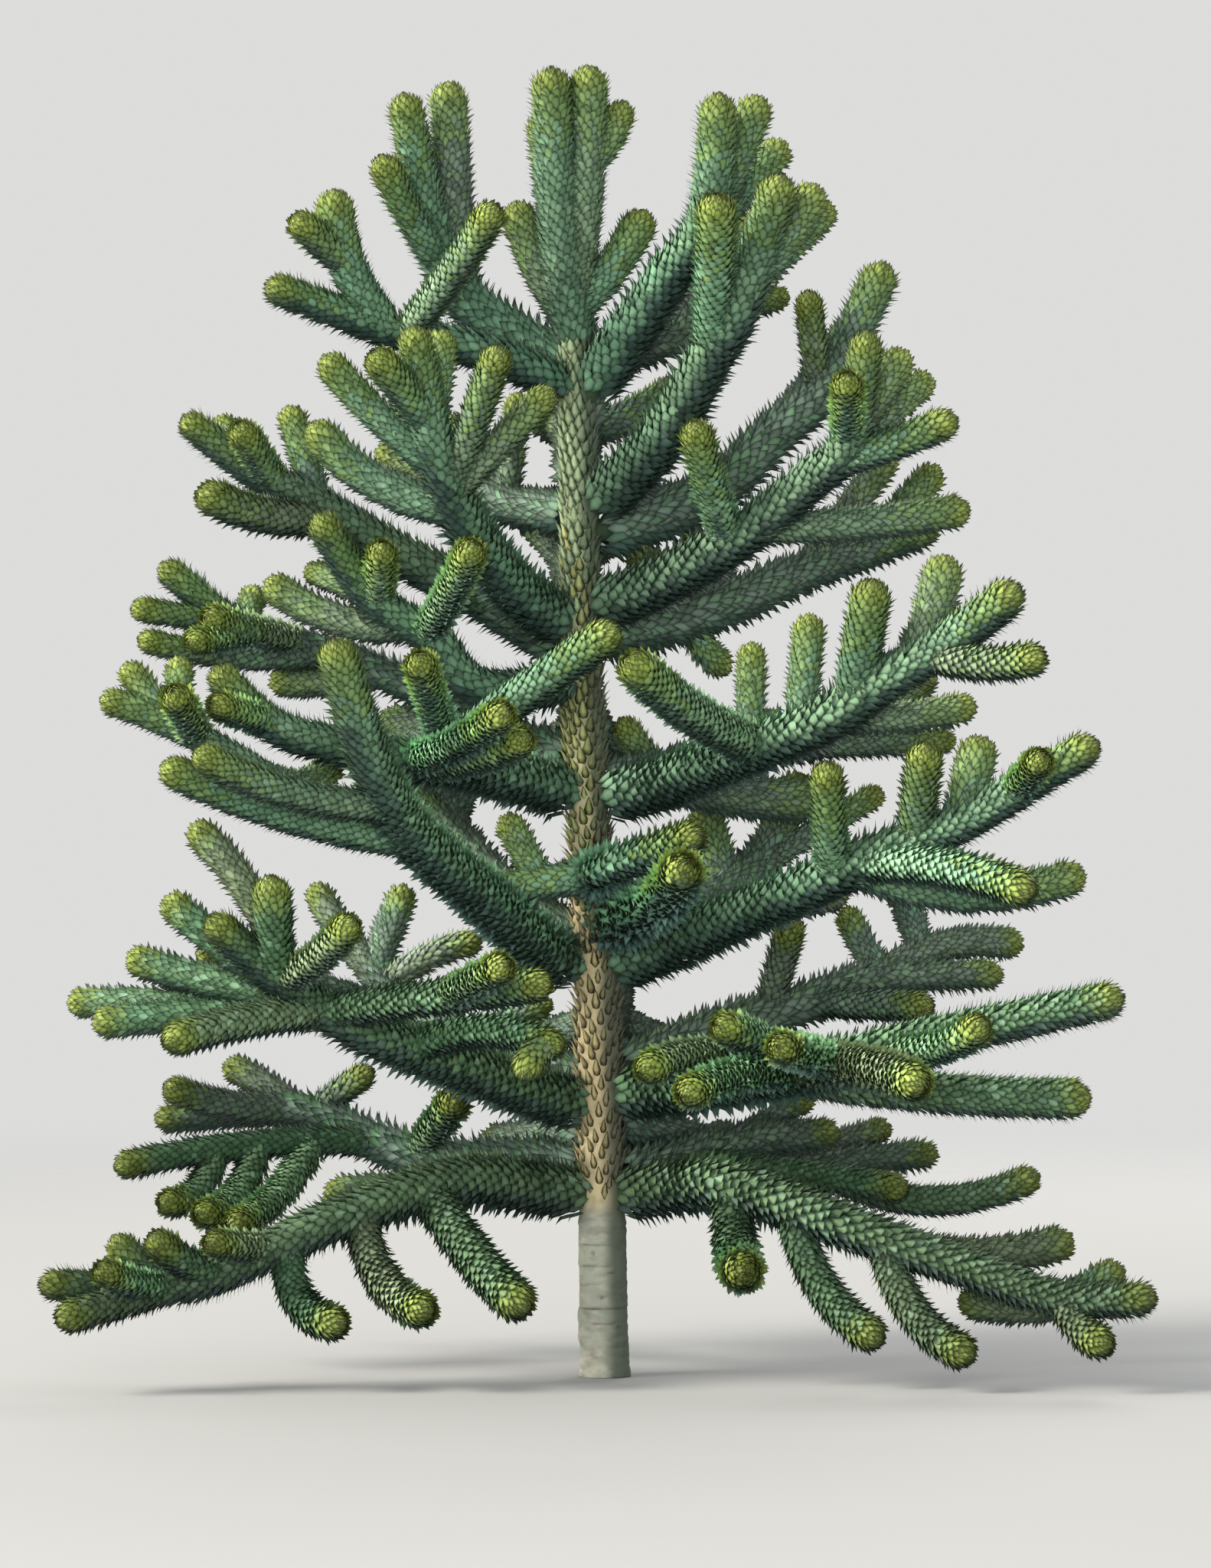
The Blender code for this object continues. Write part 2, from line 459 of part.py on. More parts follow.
class Skin:
    """A closed skin grown ring by ring round a line: plain rings of the core, and
    whorls of leaves whose points stand out of it."""

    def __init__(self, line, sides=LIMB_SIDES):
        self.line = line
        self.sides = sides
        self.turn = 0
        self.points = []
        self.faces = []
        self.last = None

    def spot(self, mark, radius, half_turns):
        centre, _, side, up = self.line.frame(mark)
        angle = half_turns * math.pi / self.sides
        self.points.append(centre + (side * math.cos(angle) + up * math.sin(angle)) * radius)
        return len(self.points) - 1

    def ring(self, mark, radius):
        return [self.spot(mark, radius, 2 * k + self.turn) for k in range(self.sides)]

    def pairs(self):
        return [(k, (k + 1) % self.sides) for k in range(self.sides)]

    def start(self, mark, radius):
        self.last = self.ring(mark, radius)
        self.faces.append(self.last[::-1])

    def grow(self, mark, radius):
        new = self.ring(mark, radius)
        for a, b in self.pairs():
            self.faces.append([self.last[a], self.last[b], new[b], new[a]])
        self.last = new

    def whorl(self, mark, radius, core, keep):
        """A ring of leaf points, each over the middle of one side of the ring
        before it. A point that keep refuses stays down in the core."""
        self.turn += 1
        new = []
        for k in range(self.sides):
            leaf = self.spot(mark, radius, 2 * k + self.turn)
            if not keep(self.points[leaf]):
                self.points.pop()
                leaf = self.spot(mark, core, 2 * k + self.turn)
            new.append(leaf)
        for a, b in self.pairs():
            self.faces.append([self.last[a], self.last[b], new[a]])
            self.faces.append([self.last[b], new[b], new[a]])
        self.last = new

    def round_end(self, mark):
        self.points.append(self.line.frame(mark)[0])
        for a, b in self.pairs():
            self.faces.append([self.last[a], self.last[b], len(self.points) - 1])

    def flat_end(self):
        self.faces.append(self.last)


class Limb:
    """One bough or shoot: its line and its width along it."""

    def __init__(self, points, root_width, tip_width, cluster):
        self.line = Line(points)
        self.root_width = root_width
        self.tip_width = tip_width
        self.cluster = cluster

    def width(self, mark):
        share = mark / self.line.length
        return self.root_width + (self.tip_width - self.root_width) * share

    def core(self, mark):
        return min(self.width(mark) * CORE_SHARE, ROOT_CORE + mark * ROOT_CORE_SPREAD)

    def reach(self, mark):
        return self.width(mark) / 2 + LEAF_STAND


def lay_out(spec):
    """The limbs of one cluster: its own line first, then its shoots in order."""
    if spec is LEADER:
        start = trunk_centre(TRUNK_TOP - LEADER_SINK)
    else:
        start = trunk_centre(spec["height"])
    root_width = BOUGH_ROOT_WIDTH if spec["bough_end"] else spec["width"] * STEM_ROOT_SWELL
    knots = [start] + [placed(place) for place in spec["way"]]
    limbs = [Limb(smooth_points(knots), root_width, spec["width"], spec["name"])]
    for row in spec["shoots"]:
        parent = limbs[row["on"]]
        root = parent.line.frame(row["leave"] * parent.line.length)[0]
        points = bowed_points(root, placed(row["tip"]), row["bow"])
        limbs.append(Limb(points, row["width"], row["width"], spec["name"]))
    return limbs


CLUSTERS = [(spec, lay_out(spec)) for spec in LIMBS]


class Crowd:
    """Every limb's middle line as one cloud, to keep leaf points clear of limbs."""

    def __init__(self, clusters, spacing=0.015):
        points, cores, reaches, owners, names = [], [], [], [], []
        for _, limbs in clusters:
            for one in limbs:
                count = max(4, round(one.line.length / spacing))
                for mark in np.linspace(0, one.line.length, count):
                    points.append(tuple(one.line.frame(mark)[0]))
                    cores.append(one.core(mark))
                    reaches.append(one.reach(mark))
                    owners.append(id(one))
                    names.append(one.cluster)
        self.points = np.array(points)
        self.cores = np.array(cores)
        self.reaches = np.array(reaches)
        self.owners = np.array(owners)
        self.names = np.array(names)

    def free(self, point, one):
        """Whether a leaf point of this limb is clear of all other limbs, by the
        core's width in its own cluster and by the leaves' reach in another."""
        away = np.linalg.norm(self.points - np.array(tuple(point)), axis=1)
        mine = self.owners == id(one)
        same = self.names == one.cluster
        room = np.where(same, self.cores + SAME_CLUSTER_ROOM,
                        self.reaches + OTHER_CLUSTER_ROOM)
        return not np.any((away < room) & ~mine)

    def free_of_all(self, point):
        away = np.linalg.norm(self.points - np.array(tuple(point)), axis=1)
        return not np.any(away < self.reaches + OTHER_CLUSTER_ROOM)


CROWD = Crowd(CLUSTERS)


def clear_of_trunk(point):
    if point.z > TRUNK_TOP + TRUNK_TOP_ROOM:
        return True
    centre = trunk_centre(point.z)
    return math.hypot(point.x - centre.x, point.y - centre.y) > TRUNK_ROOM


def whorl_marks(line, first, pitch):
    """Necks of the whorls from `first` on, spaced evenly to the tip."""
    count = max(2, round((line.length - first) / pitch))
    return [float(mark) for mark in np.linspace(first, line.length, count + 1)[:-1]]


def skin_limb(one, pitch, first=0.0, begin=0, stop=None):
    """The skin of a limb from whorl number `begin` up to number `stop`, or to its
    round tip. The part before whorl 0 is the plain root."""
    line = one.line
    marks = whorl_marks(line, first, pitch)
    step = line.length - marks[-1]
    skin = Skin(line)
    skin.turn = begin

    def keep(point):
        return CROWD.free(point, one) and clear_of_trunk(point)

    if begin:
        skin.start(marks[begin] + GAP, one.core(marks[begin]))
    else:
        skin.start(0.0, one.core(0.0) * (1.0 if first else SHOOT_ROOT_SHARE))
        if first:
            skin.grow(first, one.core(first))
    last = len(marks) if stop is None else stop
    for number in range(begin, last):
        mark = marks[number]
        following = marks[number + 1] if number + 1 < len(marks) else line.length
        final = number + 1 == len(marks)
        stand = one.reach(following) * (LAST_STAND if final else 1.0)
        point_mark = mark + step * (LAST_POINT if final else LEAF_POINT)
        skin.whorl(point_mark, stand, one.core(point_mark), keep)
        if final:
            skin.round_end(line.length)
        else:
            skin.grow(following, one.core(following))
    if stop is not None:
        skin.flat_end()
    return skin


def skin_trunk(grow=0.0):
    """The trunk, bare below and clothed in old leaves above, or the same shape a
    little larger, which cuts the limbs' roots."""
    top = TRUNK_TOP + grow
    line = Line([trunk_centre(height) for height in np.linspace(0.0, top, 61)], upright=True)
    swell = grow / math.cos(math.pi / TRUNK_SIDES)
    skin = Skin(line, TRUNK_SIDES)
    skin.start(0.0, between(TRUNK_RADIUS, 0.0) + swell)
    for height in BARE_HEIGHTS + (LEAFY_FROM,):
        skin.grow(height, between(TRUNK_RADIUS, height) + swell)
    count = round((line.length - LEAFY_FROM) / TRUNK_LEAF_PITCH)
    marks = np.linspace(LEAFY_FROM, line.length, count + 1)
    for mark, following in zip(marks, marks[1:]):
        step = following - mark
        radius = between(TRUNK_RADIUS, mark) + swell
        skin.whorl(mark + step * LEAF_POINT, radius + TRUNK_LEAF_STAND, radius,
                   CROWD.free_of_all)
        skin.grow(following, between(TRUNK_RADIUS, following) + swell)
    skin.flat_end()
    return skin


def clear_scene():
    for thing in list(bpy.data.objects):
        bpy.data.objects.remove(thing, do_unlink=True)


def finish(name, colour, roughness):
    material = bpy.data.materials.new(name + "_finish")
    material.use_nodes = True
    shader = material.node_tree.nodes["Principled BSDF"]
    shader.inputs["Base Color"].default_value = (*colour, 1.0)
    shader.inputs["Roughness"].default_value = roughness
    return material


def solid(name, skin, look=None, origin=Vector((0, 0, 0)), home=None):
    """An object from a skin, with its own origin and its own material."""
    mesh = bpy.data.meshes.new(name)
    mesh.from_pydata([tuple(point - origin) for point in skin.points], [], skin.faces)
    if look:
        mesh.materials.append(finish(name, *look))
    thing = bpy.data.objects.new(name, mesh)
    thing.location = origin
    (home or bpy.context.scene.collection).objects.link(thing)
    return thing


def shells(bm):
    """The mesh's separate shells, as sets of faces."""
    left = set(bm.faces)
    found = []
    while left:
        seed = left.pop()
        shell = {seed}
        front = [seed]
        while front:
            for edge in front.pop().edges:
                for face in edge.link_faces:
                    if face in left:
                        left.remove(face)
                        shell.add(face)
                        front.append(face)
        found.append(shell)
    return found


def keep_main_shell(thing):
    """Drops loose scraps and the skins of sealed hollows, which fills them."""
    bm = bmesh.new()
    bm.from_mesh(thing.data)
    parts = sorted(shells(bm), key=len)
    scraps = [face for part in parts[:-1] for face in part]
    if scraps:
        bmesh.ops.delete(bm, geom=scraps, context="FACES")
    bm.to_mesh(thing.data)
    bm.free()


def apply_modifiers(thing):
    graph = bpy.context.evaluated_depsgraph_get()
    mesh = bpy.data.meshes.new_from_object(thing.evaluated_get(graph))
    thing.modifiers.clear()
    old = thing.data
    thing.data = mesh
    bpy.data.meshes.remove(old)


def fuse(thing, others):
    """Joins the shoots of a cluster to its stem with one union, then removes them."""
    join = thing.modifiers.new("join", "BOOLEAN")
    join.operation = "UNION"
    join.operand_type = "COLLECTION"
    join.collection = others
    apply_modifiers(thing)
    for one in list(others.objects):
        bpy.data.objects.remove(one, do_unlink=True)
    bpy.data.collections.remove(others)
    keep_main_shell(thing)


def cut_at_trunk(thing, cutter):
    cut = thing.modifiers.new("seat on trunk", "BOOLEAN")
    cut.operation = "DIFFERENCE"
    cut.object = cutter
    apply_modifiers(thing)
    keep_main_shell(thing)


def whorl_at(one, share, first, pitch):
    """Number of the whorl whose neck is nearest to a share of the limb's length."""
    marks = whorl_marks(one.line, first, pitch)
    return min(range(1, len(marks)), key=lambda k: abs(marks[k] - share * one.line.length))


def build_cluster(spec, limbs, cutter, root):
    """One bough, where the limb has one, and the foliage that it carries."""
    main = limbs[0]
    first = 2 * LEADER_SINK if spec is LEADER else TRUNK_ROOM
    begin = 0
    if spec["bough_end"]:
        begin = whorl_at(main, spec["bough_end"], first, BOUGH_LEAF_PITCH)
        skin = skin_limb(main, BOUGH_LEAF_PITCH, first, stop=begin)
        bough = solid("bough_" + spec["name"], skin, BOUGH_LEAVES, skin.line.frame(0)[0])
        cut_at_trunk(bough, cutter)
        bough.parent = root
    skin = skin_limb(main, BOUGH_LEAF_PITCH, first, begin=begin)
    origin = skin.line.frame(whorl_marks(main.line, first, BOUGH_LEAF_PITCH)[begin])[0]
    look = CROWN_LEAVES if spec in TOP_TIER or spec is LEADER else SHOOT_LEAVES
    foliage = solid("foliage_" + spec["name"], skin, look, origin)
    others = bpy.data.collections.new("shoots of " + spec["name"])
    for number, one in enumerate(limbs[1:]):
        sprig = skin_limb(one, SHOOT_LEAF_PITCH)
        solid("shoot_%d" % number, sprig, None, origin, others)
    if others.objects:
        fuse(foliage, others)
    if not spec["bough_end"]:
        cut_at_trunk(foliage, cutter)
    foliage.parent = root


def build():
    clear_scene()
    root = bpy.data.objects.new("tree", None)
    bpy.context.scene.collection.objects.link(root)
    trunk = solid("trunk", skin_trunk(), BARK)
    trunk.data.shade_smooth()
    trunk.data.set_sharp_from_angle(angle=SMOOTH_ANGLE)
    trunk.parent = root
    cutter = solid("trunk_clearance", skin_trunk(GAP))
    cutter.hide_render = True
    cutter.display_type = "WIRE"
    for spec, limbs in CLUSTERS:
        build_cluster(spec, limbs, cutter, root)


build()
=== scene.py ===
import math

import bpy
import numpy as np
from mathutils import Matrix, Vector, kdtree


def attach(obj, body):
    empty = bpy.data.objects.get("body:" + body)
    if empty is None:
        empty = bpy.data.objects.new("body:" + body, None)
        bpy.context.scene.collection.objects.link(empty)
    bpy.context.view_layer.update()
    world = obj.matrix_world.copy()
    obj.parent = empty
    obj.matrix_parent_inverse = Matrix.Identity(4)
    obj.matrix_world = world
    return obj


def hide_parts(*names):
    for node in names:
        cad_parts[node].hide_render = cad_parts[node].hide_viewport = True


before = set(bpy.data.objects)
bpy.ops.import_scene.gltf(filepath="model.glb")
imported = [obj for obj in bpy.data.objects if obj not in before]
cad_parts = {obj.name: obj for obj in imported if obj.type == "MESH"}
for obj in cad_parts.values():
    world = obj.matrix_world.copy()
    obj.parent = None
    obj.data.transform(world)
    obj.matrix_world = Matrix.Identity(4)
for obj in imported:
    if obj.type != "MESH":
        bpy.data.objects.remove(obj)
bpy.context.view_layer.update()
print("frame loaded,", len(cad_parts), "solids")

# The camera stands where the drawing was seen from
view = {
    "eyeHeight": 1.268,  # height of the eye over the ground
    "away": 14.0,  # from the eye to the trunk
    "aside": 0.0016,
    "pictureHeight": 3.359,  # of what the picture shows at the trunk
    "sensor": 36.0,
    "sight": 200.0,
}


def makeCamera():
    camera = bpy.data.objects.new("camera", bpy.data.cameras.new("camera"))
    camera.data.sensor_width = view["sensor"]
    camera.data.lens = view["sensor"] * view["away"] / view["pictureHeight"]
    camera.location = (view["aside"], -view["away"], view["eyeHeight"])
    camera.rotation_euler = (math.radians(90), 0, 0)
    camera.data.clip_end = view["sight"]
    bpy.context.scene.collection.objects.link(camera)
    bpy.context.scene.camera = camera


# The trunk: lean of its middle and radius of its wood, each by height
trunkShape = {
    "top": 2.22,
    "lean": ((0.0, 0.0), (0.35, -0.006), (0.85, -0.017), (1.44, -0.047), (2.22, -0.062)),
    "radius": ((0.0, 0.0565), (0.03, 0.0535), (0.12, 0.0515), (0.33, 0.0515),
               (0.37, 0.046), (1.2, 0.041), (2.22, 0.034)),
    "leafyFrom": 0.37,
}

# The limbs of each tier, in millimetres. A row gives a limb's name, the height at which it
# leaves the trunk, its width over the leaves, the points that it runs through, and its shoots.
# A shoot gives the percentage of its limb at which it leaves, the place of its tip, its bow (a
# negative one turns the tip up), its width and the number of the limb that it leaves.
# A place is across, up and depth: the first two are read in the plane of the trunk, and depth
# is the distance behind it.
lowestTier = [
    ("low_left_front", 380, 60, [(-160, 405, -65), (-330, 415, -170), (-600, 325, -320),
     (-900, 195, -380), (-1205, 195, -420)],
     [(33, -170, 140, -400, -15, 80), (46, -375, 135, -460, -55, 70),
      (59, -560, 110, -440, -60, 68), (78, -1050, 295, -340, -15), (71, -970, 300, -470, -15),
      (80, -1170, 120, -500, 0, 66), (80, -1085, 230, -540, -10, 56),
      (62, -850, 285, -500, 0, 56), (36, -590, 385, -120, 10)]),
    ("low_right_front", 380, 66, [(150, 405, -60), (280, 405, -150), (520, 320, -280),
     (780, 230, -340), (980, 165, -380), (1175, 165, -420)],
     [(25, 300, 220, -340, -58, 84), (37, 590, 75, -340, -45, 72), (54, 785, 40, -420, -45, 70),
      (60, 995, 290, -180, -20, 70), (85, 1100, 230, -300, -10, 66),
      (85, 1080, 60, -460, -15, 66), (86, 770, 165, -220, -15, 66)]),
    ("low_left_back", 420, 56, [(-170, 450, 130), (-370, 465, 225), (-520, 515, 300),
     (-660, 570, 360), (-955, 550, 440)],
     [(43, -310, 600, 60, 5, 66), (72, -940, 620, 320, -15), (70, -805, 665, 500, 5, 56),
      (68, -500, 655, 340, 0, 56), (52, -1045, 447, 100, 20, 58),
      (62, -950, 370, 60, -40, 56, 5), (46, -870, 345, 20, -45, 62, 5),
      (25, -800, 320, -20, -30, 62, 5)]),
    ("low_right_back", 412, 60, [(118, 443, 106), (220, 475, 175), (340, 505, 220),
     (495, 520, 260)],
     [(48, 440, 595, 340, 0, 45), (42, 645, 400, 20), (70, 925, 430, 80, -50, 62, 2)]),
    ("low_right_far", 550, 56, [(100, 530, 160), (200, 500, 320), (380, 455, 460),
     (705, 475, 600)],
     [(60, 605, 530, 620, 0, 52), (40, 260, 515, 760, -10)]),
    ("low_left_far", 520, 56, [(-90, 525, 200), (-150, 510, 420), (-245, 500, 660)],
     [(50, -140, 460, 620, 0, 56), (45, -110, 620, 720, -10)]),
    ("low_back", 460, 62, [(10, 490, 220), (30, 530, 500), (20, 570, 920)],
     [(45, 110, 530, 760, -10), (50, -90, 610, 840, -15)]),
]
secondTier = [
    ("second_left_front", 570, 66, [(-130, 600, -65), (-300, 660, -190), (-500, 730, -340),
     (-630, 800, -380), (-720, 870, -420), (-845, 975, -460)],
     [(70, -940, 715, -580, 10, 66), (68, -1090, 755, -260, 10), (74, -1140, 800, -100, 0, 56),
      (76, -1015, 895, -220, -10), (82, -935, 1020, -260, -10), (82, -715, 1065, -500, -10, 74),
      (45, -880, 1175, -360, 15, 62, 6), (81, -540, 975, -600, -15),
      (70, -120, 840, -620, 0, 66), (55, -210, 880, -720, 0, 62, 9), (48, -95, 700, -480, 40),
      (92, -175, 640, -500, 10, 62, 11)]),
    ("second_right_front", 600, 70, [(140, 615, -65), (290, 635, -210), (450, 660, -380),
     (620, 705, -460), (1105, 810, -520)],
     [(36, 80, 650, -620, 40, 66), (42, 170, 600, -720, 20, 66), (46, 240, 750, -560, 10, 66),
      (52, 370, 705, -760, 0, 66), (44, 680, 620, -740, 25, 78), (60, 815, 755, -660, -25),
      (40, 1035, 595, -320, -15, 80)]),
    ("second_right_back", 640, 56, [(120, 685, 120), (250, 740, 220), (420, 795, 320),
     (580, 850, 400), (845, 860, 480)],
     [(46, 405, 980, 220, 5), (56, 700, 790, 200), (74, 515, 995, 500, 0, 56),
      (72, 885, 925, 600, 35), (35, 625, 1050, 660, 12, 54, 4)]),
    ("second_left_back", 630, 56, [(-140, 670, 180), (-300, 730, 360), (-480, 840, 540),
     (-430, 1040, 700)],
     [(76, -620, 1045, 760, -10, 56), (72, -270, 930, 600, 20, 56), (45, -120, 800, 460, 0, 50),
      (62, -870, 905, 440, 0, 52)]),
    ("second_back", 750, 62, [(-10, 760, 240), (10, 790, 540), (20, 840, 880)],
     [(55, 120, 720, 800, -10), (50, -130, 730, 780, -10)]),
]
thirdTier = [
    ("third_left_front", 860, 78, [(-120, 905, -60), (-250, 1020, -240), (-400, 1150, -410),
     (-480, 1270, -520), (-530, 1400, -580), (-580, 1570, -620)],
     [(55, -945, 1305, -440, -25, 68), (66, -875, 1335, -620, -30),
      (35, -1075, 1450, -380, 30, 56, 1), (72, -1025, 1520, -340, 0, 54, 3),
      (70, -910, 1530, -280, 0, 50, 3), (60, -925, 1465, -560, 0, 62, 3),
      (35, -575, 1315, -200, -40, 52, 3)]),
    ("third_right_front", 860, 68, [(130, 920, -50), (280, 985, -150), (450, 1055, -270),
     (600, 1125, -340), (770, 1190, -380), (1050, 1355, -440)],
     [(50, 475, 1310, -440, -15, 66), (65, 690, 1350, -460, 0, 70), (74, 805, 1360, -300, 0, 76),
      (84, 940, 1325, -560, 0, 58), (55, 915, 1035, -560, 20, 74),
      (53, 1020, 1075, -120, -50, 70)]),
    ("third_front_left", 1070, 66, [(-20, 1070, -120), (0, 1085, -260), (205, 1160, -400)],
     [(35, -250, 1040, -125, 0, 68), (50, -210, 1195, -60, 0, 56, 1)]),
    ("third_front_right", 970, 86, [(60, 985, -160), (130, 1030, -320), (175, 1095, -460)], []),
    ("third_right_back", 960, 70, [(120, 985, 160), (250, 1040, 340), (340, 1110, 460),
     (420, 1280, 580)],
     [(55, 210, 1215, 440, 0, 74), (68, 590, 1250, 600, 0, 48), (50, 500, 1030, 780, -10)]),
    ("third_left_back", 930, 62, [(-120, 970, 140), (-250, 1080, 320), (-340, 1200, 480),
     (-340, 1350, 640)],
     [(55, -450, 1280, 500), (72, -270, 1350, 700), (45, -340, 1080, 680, -10)]),
    ("third_back", 1030, 62, [(0, 1030, 240), (-10, 1060, 520), (-20, 1120, 840)],
     [(50, 60, 1000, 780, -10), (50, -90, 1070, 740)]),
]
fourthTier = [
    ("fourth_left_front", 1230, 62, [(-130, 1265, -55), (-270, 1300, -160), (-430, 1320, -280),
     (-600, 1355, -340), (-720, 1400, -360), (-835, 1510, -360)],
     [(50, -210, 1425, -600, -15, 64), (47, -165, 1370, -500, -20, 64),
      (44, 25, 1600, -380, 5, 74), (38, -400, 1540, -500, 0, 64), (83, -840, 1440, -500, 0, 56)]),
    ("fourth_left_middle", 1510, 66, [(-140, 1475, -60), (-280, 1480, -80), (-370, 1580, -80),
     (-500, 1670, -80), (-615, 1840, -120)],
     [(58, -720, 1700, 60, -33, 64), (70, -475, 1780, -200), (74, -630, 1725, 80, 0, 46),
      (54, -280, 1780, -360, -10, 64)]),
    ("fourth_left_back", 1310, 60, [(-140, 1350, 100), (-300, 1420, 180), (-460, 1500, 240),
     (-620, 1560, 280), (-780, 1605, 300), (-945, 1735, 320)],
     [(81, -1010, 1645, 260, 0, 52), (80, -750, 1680, 400, 0, 50), (68, -855, 1625, 40),
      (50, -890, 1570, 0, 0, 56, 3), (62, -995, 1580, 200, -25, 52), (50, -710, 1490, 360, -10),
      (35, -330, 1520, 600, -10), (30, -460, 1395, 520, -15, 80)]),
    ("fourth_right_front", 1230, 76, [(110, 1265, -50), (230, 1310, -140), (360, 1360, -250),
     (480, 1410, -320), (600, 1490, -360), (740, 1575, -380), (885, 1685, -420)],
     [(40, 50, 1535, -520, -20, 80), (38, 315, 1565, -140, 0, 56), (50, 440, 1625, -220),
      (62, 575, 1700, -420, 0, 80), (76, 730, 1750, -260, -15, 78),
      (79, 940, 1540, -500, -15, 66), (58, 785, 1435, -140, -15, 56)]),
    ("fourth_right_back", 1270, 54, [(120, 1300, 160), (270, 1330, 320), (450, 1355, 440),
     (580, 1410, 520), (700, 1495, 580)],
     [(62, 745, 1360, 540, 0, 52), (22, 35, 1405, 180, -5, 58), (45, 360, 1400, 700, -10),
      (16, 470, 1235, 360, -20, 84)]),
    ("fourth_back", 1370, 62, [(-40, 1390, 220), (-50, 1430, 480), (-50, 1500, 760)],
     [(50, -150, 1330, 700, -10), (50, 100, 1300, 700, -10)]),
]
fifthTier = [
    ("fifth_left_front", 1555, 60, [(-140, 1600, 50), (-280, 1680, 90), (-450, 1765, 100),
     (-620, 1870, 80), (-740, 1930, 60), (-900, 2050, 40)],
     [(66, -675, 2070, 180, 0, 56), (76, -785, 2035, -60), (78, -825, 2045, 200, 0, 52),
      (62, -865, 1895, -60, -28, 74), (56, -580, 1800, 440, -10)]),
    ("fifth_right_front", 1635, 66, [(80, 1685, -45), (200, 1745, -110), (320, 1820, -170),
     (440, 1920, -220), (520, 2000, -260), (565, 2230, -300)],
     [(40, 190, 2040, -340, -10, 66), (46, 775, 1855, -60, -10, 66), (76, 520, 2140, -420),
      (78, 640, 2190, -180, 0, 64), (74, 690, 2135, -60, 0, 56), (70, 750, 2050, -280, -5, 66)]),
    ("fifth_right_back", 1590, 60, [(100, 1610, 120), (280, 1660, 260), (420, 1720, 360),
     (560, 1765, 440), (705, 1815, 500)],
     [(30, 260, 1515, 260, -15, 56), (66, 610, 1975, 520), (82, 710, 1940, 560),
      (35, 60, 1770, 340, 0, 68), (45, 180, 1800, 440, 0, 56)]),
    ("fifth_back", 1650, 62, [(-60, 1700, 200), (-70, 1780, 420), (-70, 1900, 640)],
     [(50, -160, 1850, 580, -10), (50, 50, 1840, 580, -10)]),
]
sixthTier = [
    ("sixth_left_front", 1600, 66, [(-150, 1650, -55), (-240, 1740, -140), (-320, 1870, -230),
     (-370, 2020, -290), (-410, 2240, -300)],
     [(76, -495, 2190, -400, 0, 66), (75, -350, 2230, -180), (64, -600, 2180, -220, -10, 64),
      (52, -625, 2035, -120, -38, 72), (58, -225, 2200, -380), (57, -115, 2110, -260)]),
    ("sixth_left_back", 1840, 60, [(-130, 1855, 140), (-220, 1875, 280), (-340, 2040, 560)],
     [(45, -185, 2100, 360, 0, 52), (60, -480, 1980, 520, -10)]),
    ("sixth_right_front", 1840, 74, [(50, 1930, -45), (140, 2035, -120), (220, 2175, -200),
     (290, 2295, -260), (380, 2565, -300)],
     [(55, 240, 2525, -420, 0, 78), (76, 450, 2545, -200, -10, 70), (72, 480, 2500, -60, 0, 52)]),
    ("sixth_right_back", 1800, 74, [(100, 1840, 100), (230, 1890, 180), (355, 2010, 240),
     (475, 2125, 290), (600, 2375, 340)],
     [(68, 435, 2320, 220, 0, 56), (50, 530, 2250, 520, -10)]),
    ("sixth_back", 1920, 62, [(-60, 1970, 180), (-60, 2060, 360), (-60, 2220, 520)],
     [(50, 160, 2120, 420, -15, 70), (50, -150, 2060, 460, -10, 56)]),
]
topTier = [
    ("top_left_back", 2125, 66, [(-150, 2200, 80), (-300, 2310, 130), (-370, 2455, 140),
     (-430, 2740, 130)],
     [(44, -335, 2765, 220, -10, 76), (52, -480, 2610, 40, -10, 64), (40, -390, 2500, 400, -10)]),
    ("top_left_front", 2090, 64, [(-150, 2150, -50), (-300, 2205, -80), (-460, 2240, -90),
     (-720, 2335, -150)],
     [(62, -580, 2535, -120, -30, 76), (50, -665, 2480, -200, 0, 62, 1),
      (57, -235, 2505, -300, -10, 64)]),
    ("top_right_front", 2070, 70, [(30, 2200, -45), (140, 2360, -120), (220, 2480, -180),
     (245, 2740, -200)],
     [(60, 330, 2735, -100, -5, 70), (56, 380, 2635, 20)]),
    ("top_right_back", 2150, 64, [(50, 2200, 120), (180, 2250, 220), (310, 2480, 340)],
     [(55, 385, 2315, 360, 0, 52), (50, 220, 2500, 460, -10)]),
    ("top_back", 2020, 64, [(-45, 2105, 120), (-70, 2320, 240), (-70, 2520, 340)],
     [(50, -170, 2450, 320, -10)]),
]
leader = [
    ("leader", 2220, 76, [(-85, 2350, -10), (-105, 2550, -20), (-115, 2795, -30)],
     [(12, -35, 2800, -10, -12, 76), (60, 40, 2725, 20, -10, 62, 1),
      (10, -190, 2510, 30, -15, 72), (12, 85, 2490, 50, -15, 72), (45, -135, 2700, 80, -10),
      (40, -60, 2680, 120, -15, 68)]),
]
tiers = [lowestTier, secondTier, thirdTier, fourthTier, fifthTier, sixthTier, topTier, leader]

limbShape = {
    "usual": (0, 62, 0),  # bow, width and limb of a shoot whose row leaves them out
    "boughRootWidth": 0.108,  # over the leaves, where a bough leaves the trunk
    "stemRootSwell": 1.25,
    "leaderSink": 0.01,
    "toneSeed": 4,
    "mainTone": 0.5,  # how olive a main limb is against a shoot
}


def readOff(pairs, value):
    return np.interp(value, *zip(*pairs))


def trunkPoint(height):
    return np.array([readOff(trunkShape["lean"], height), 0.0, height])


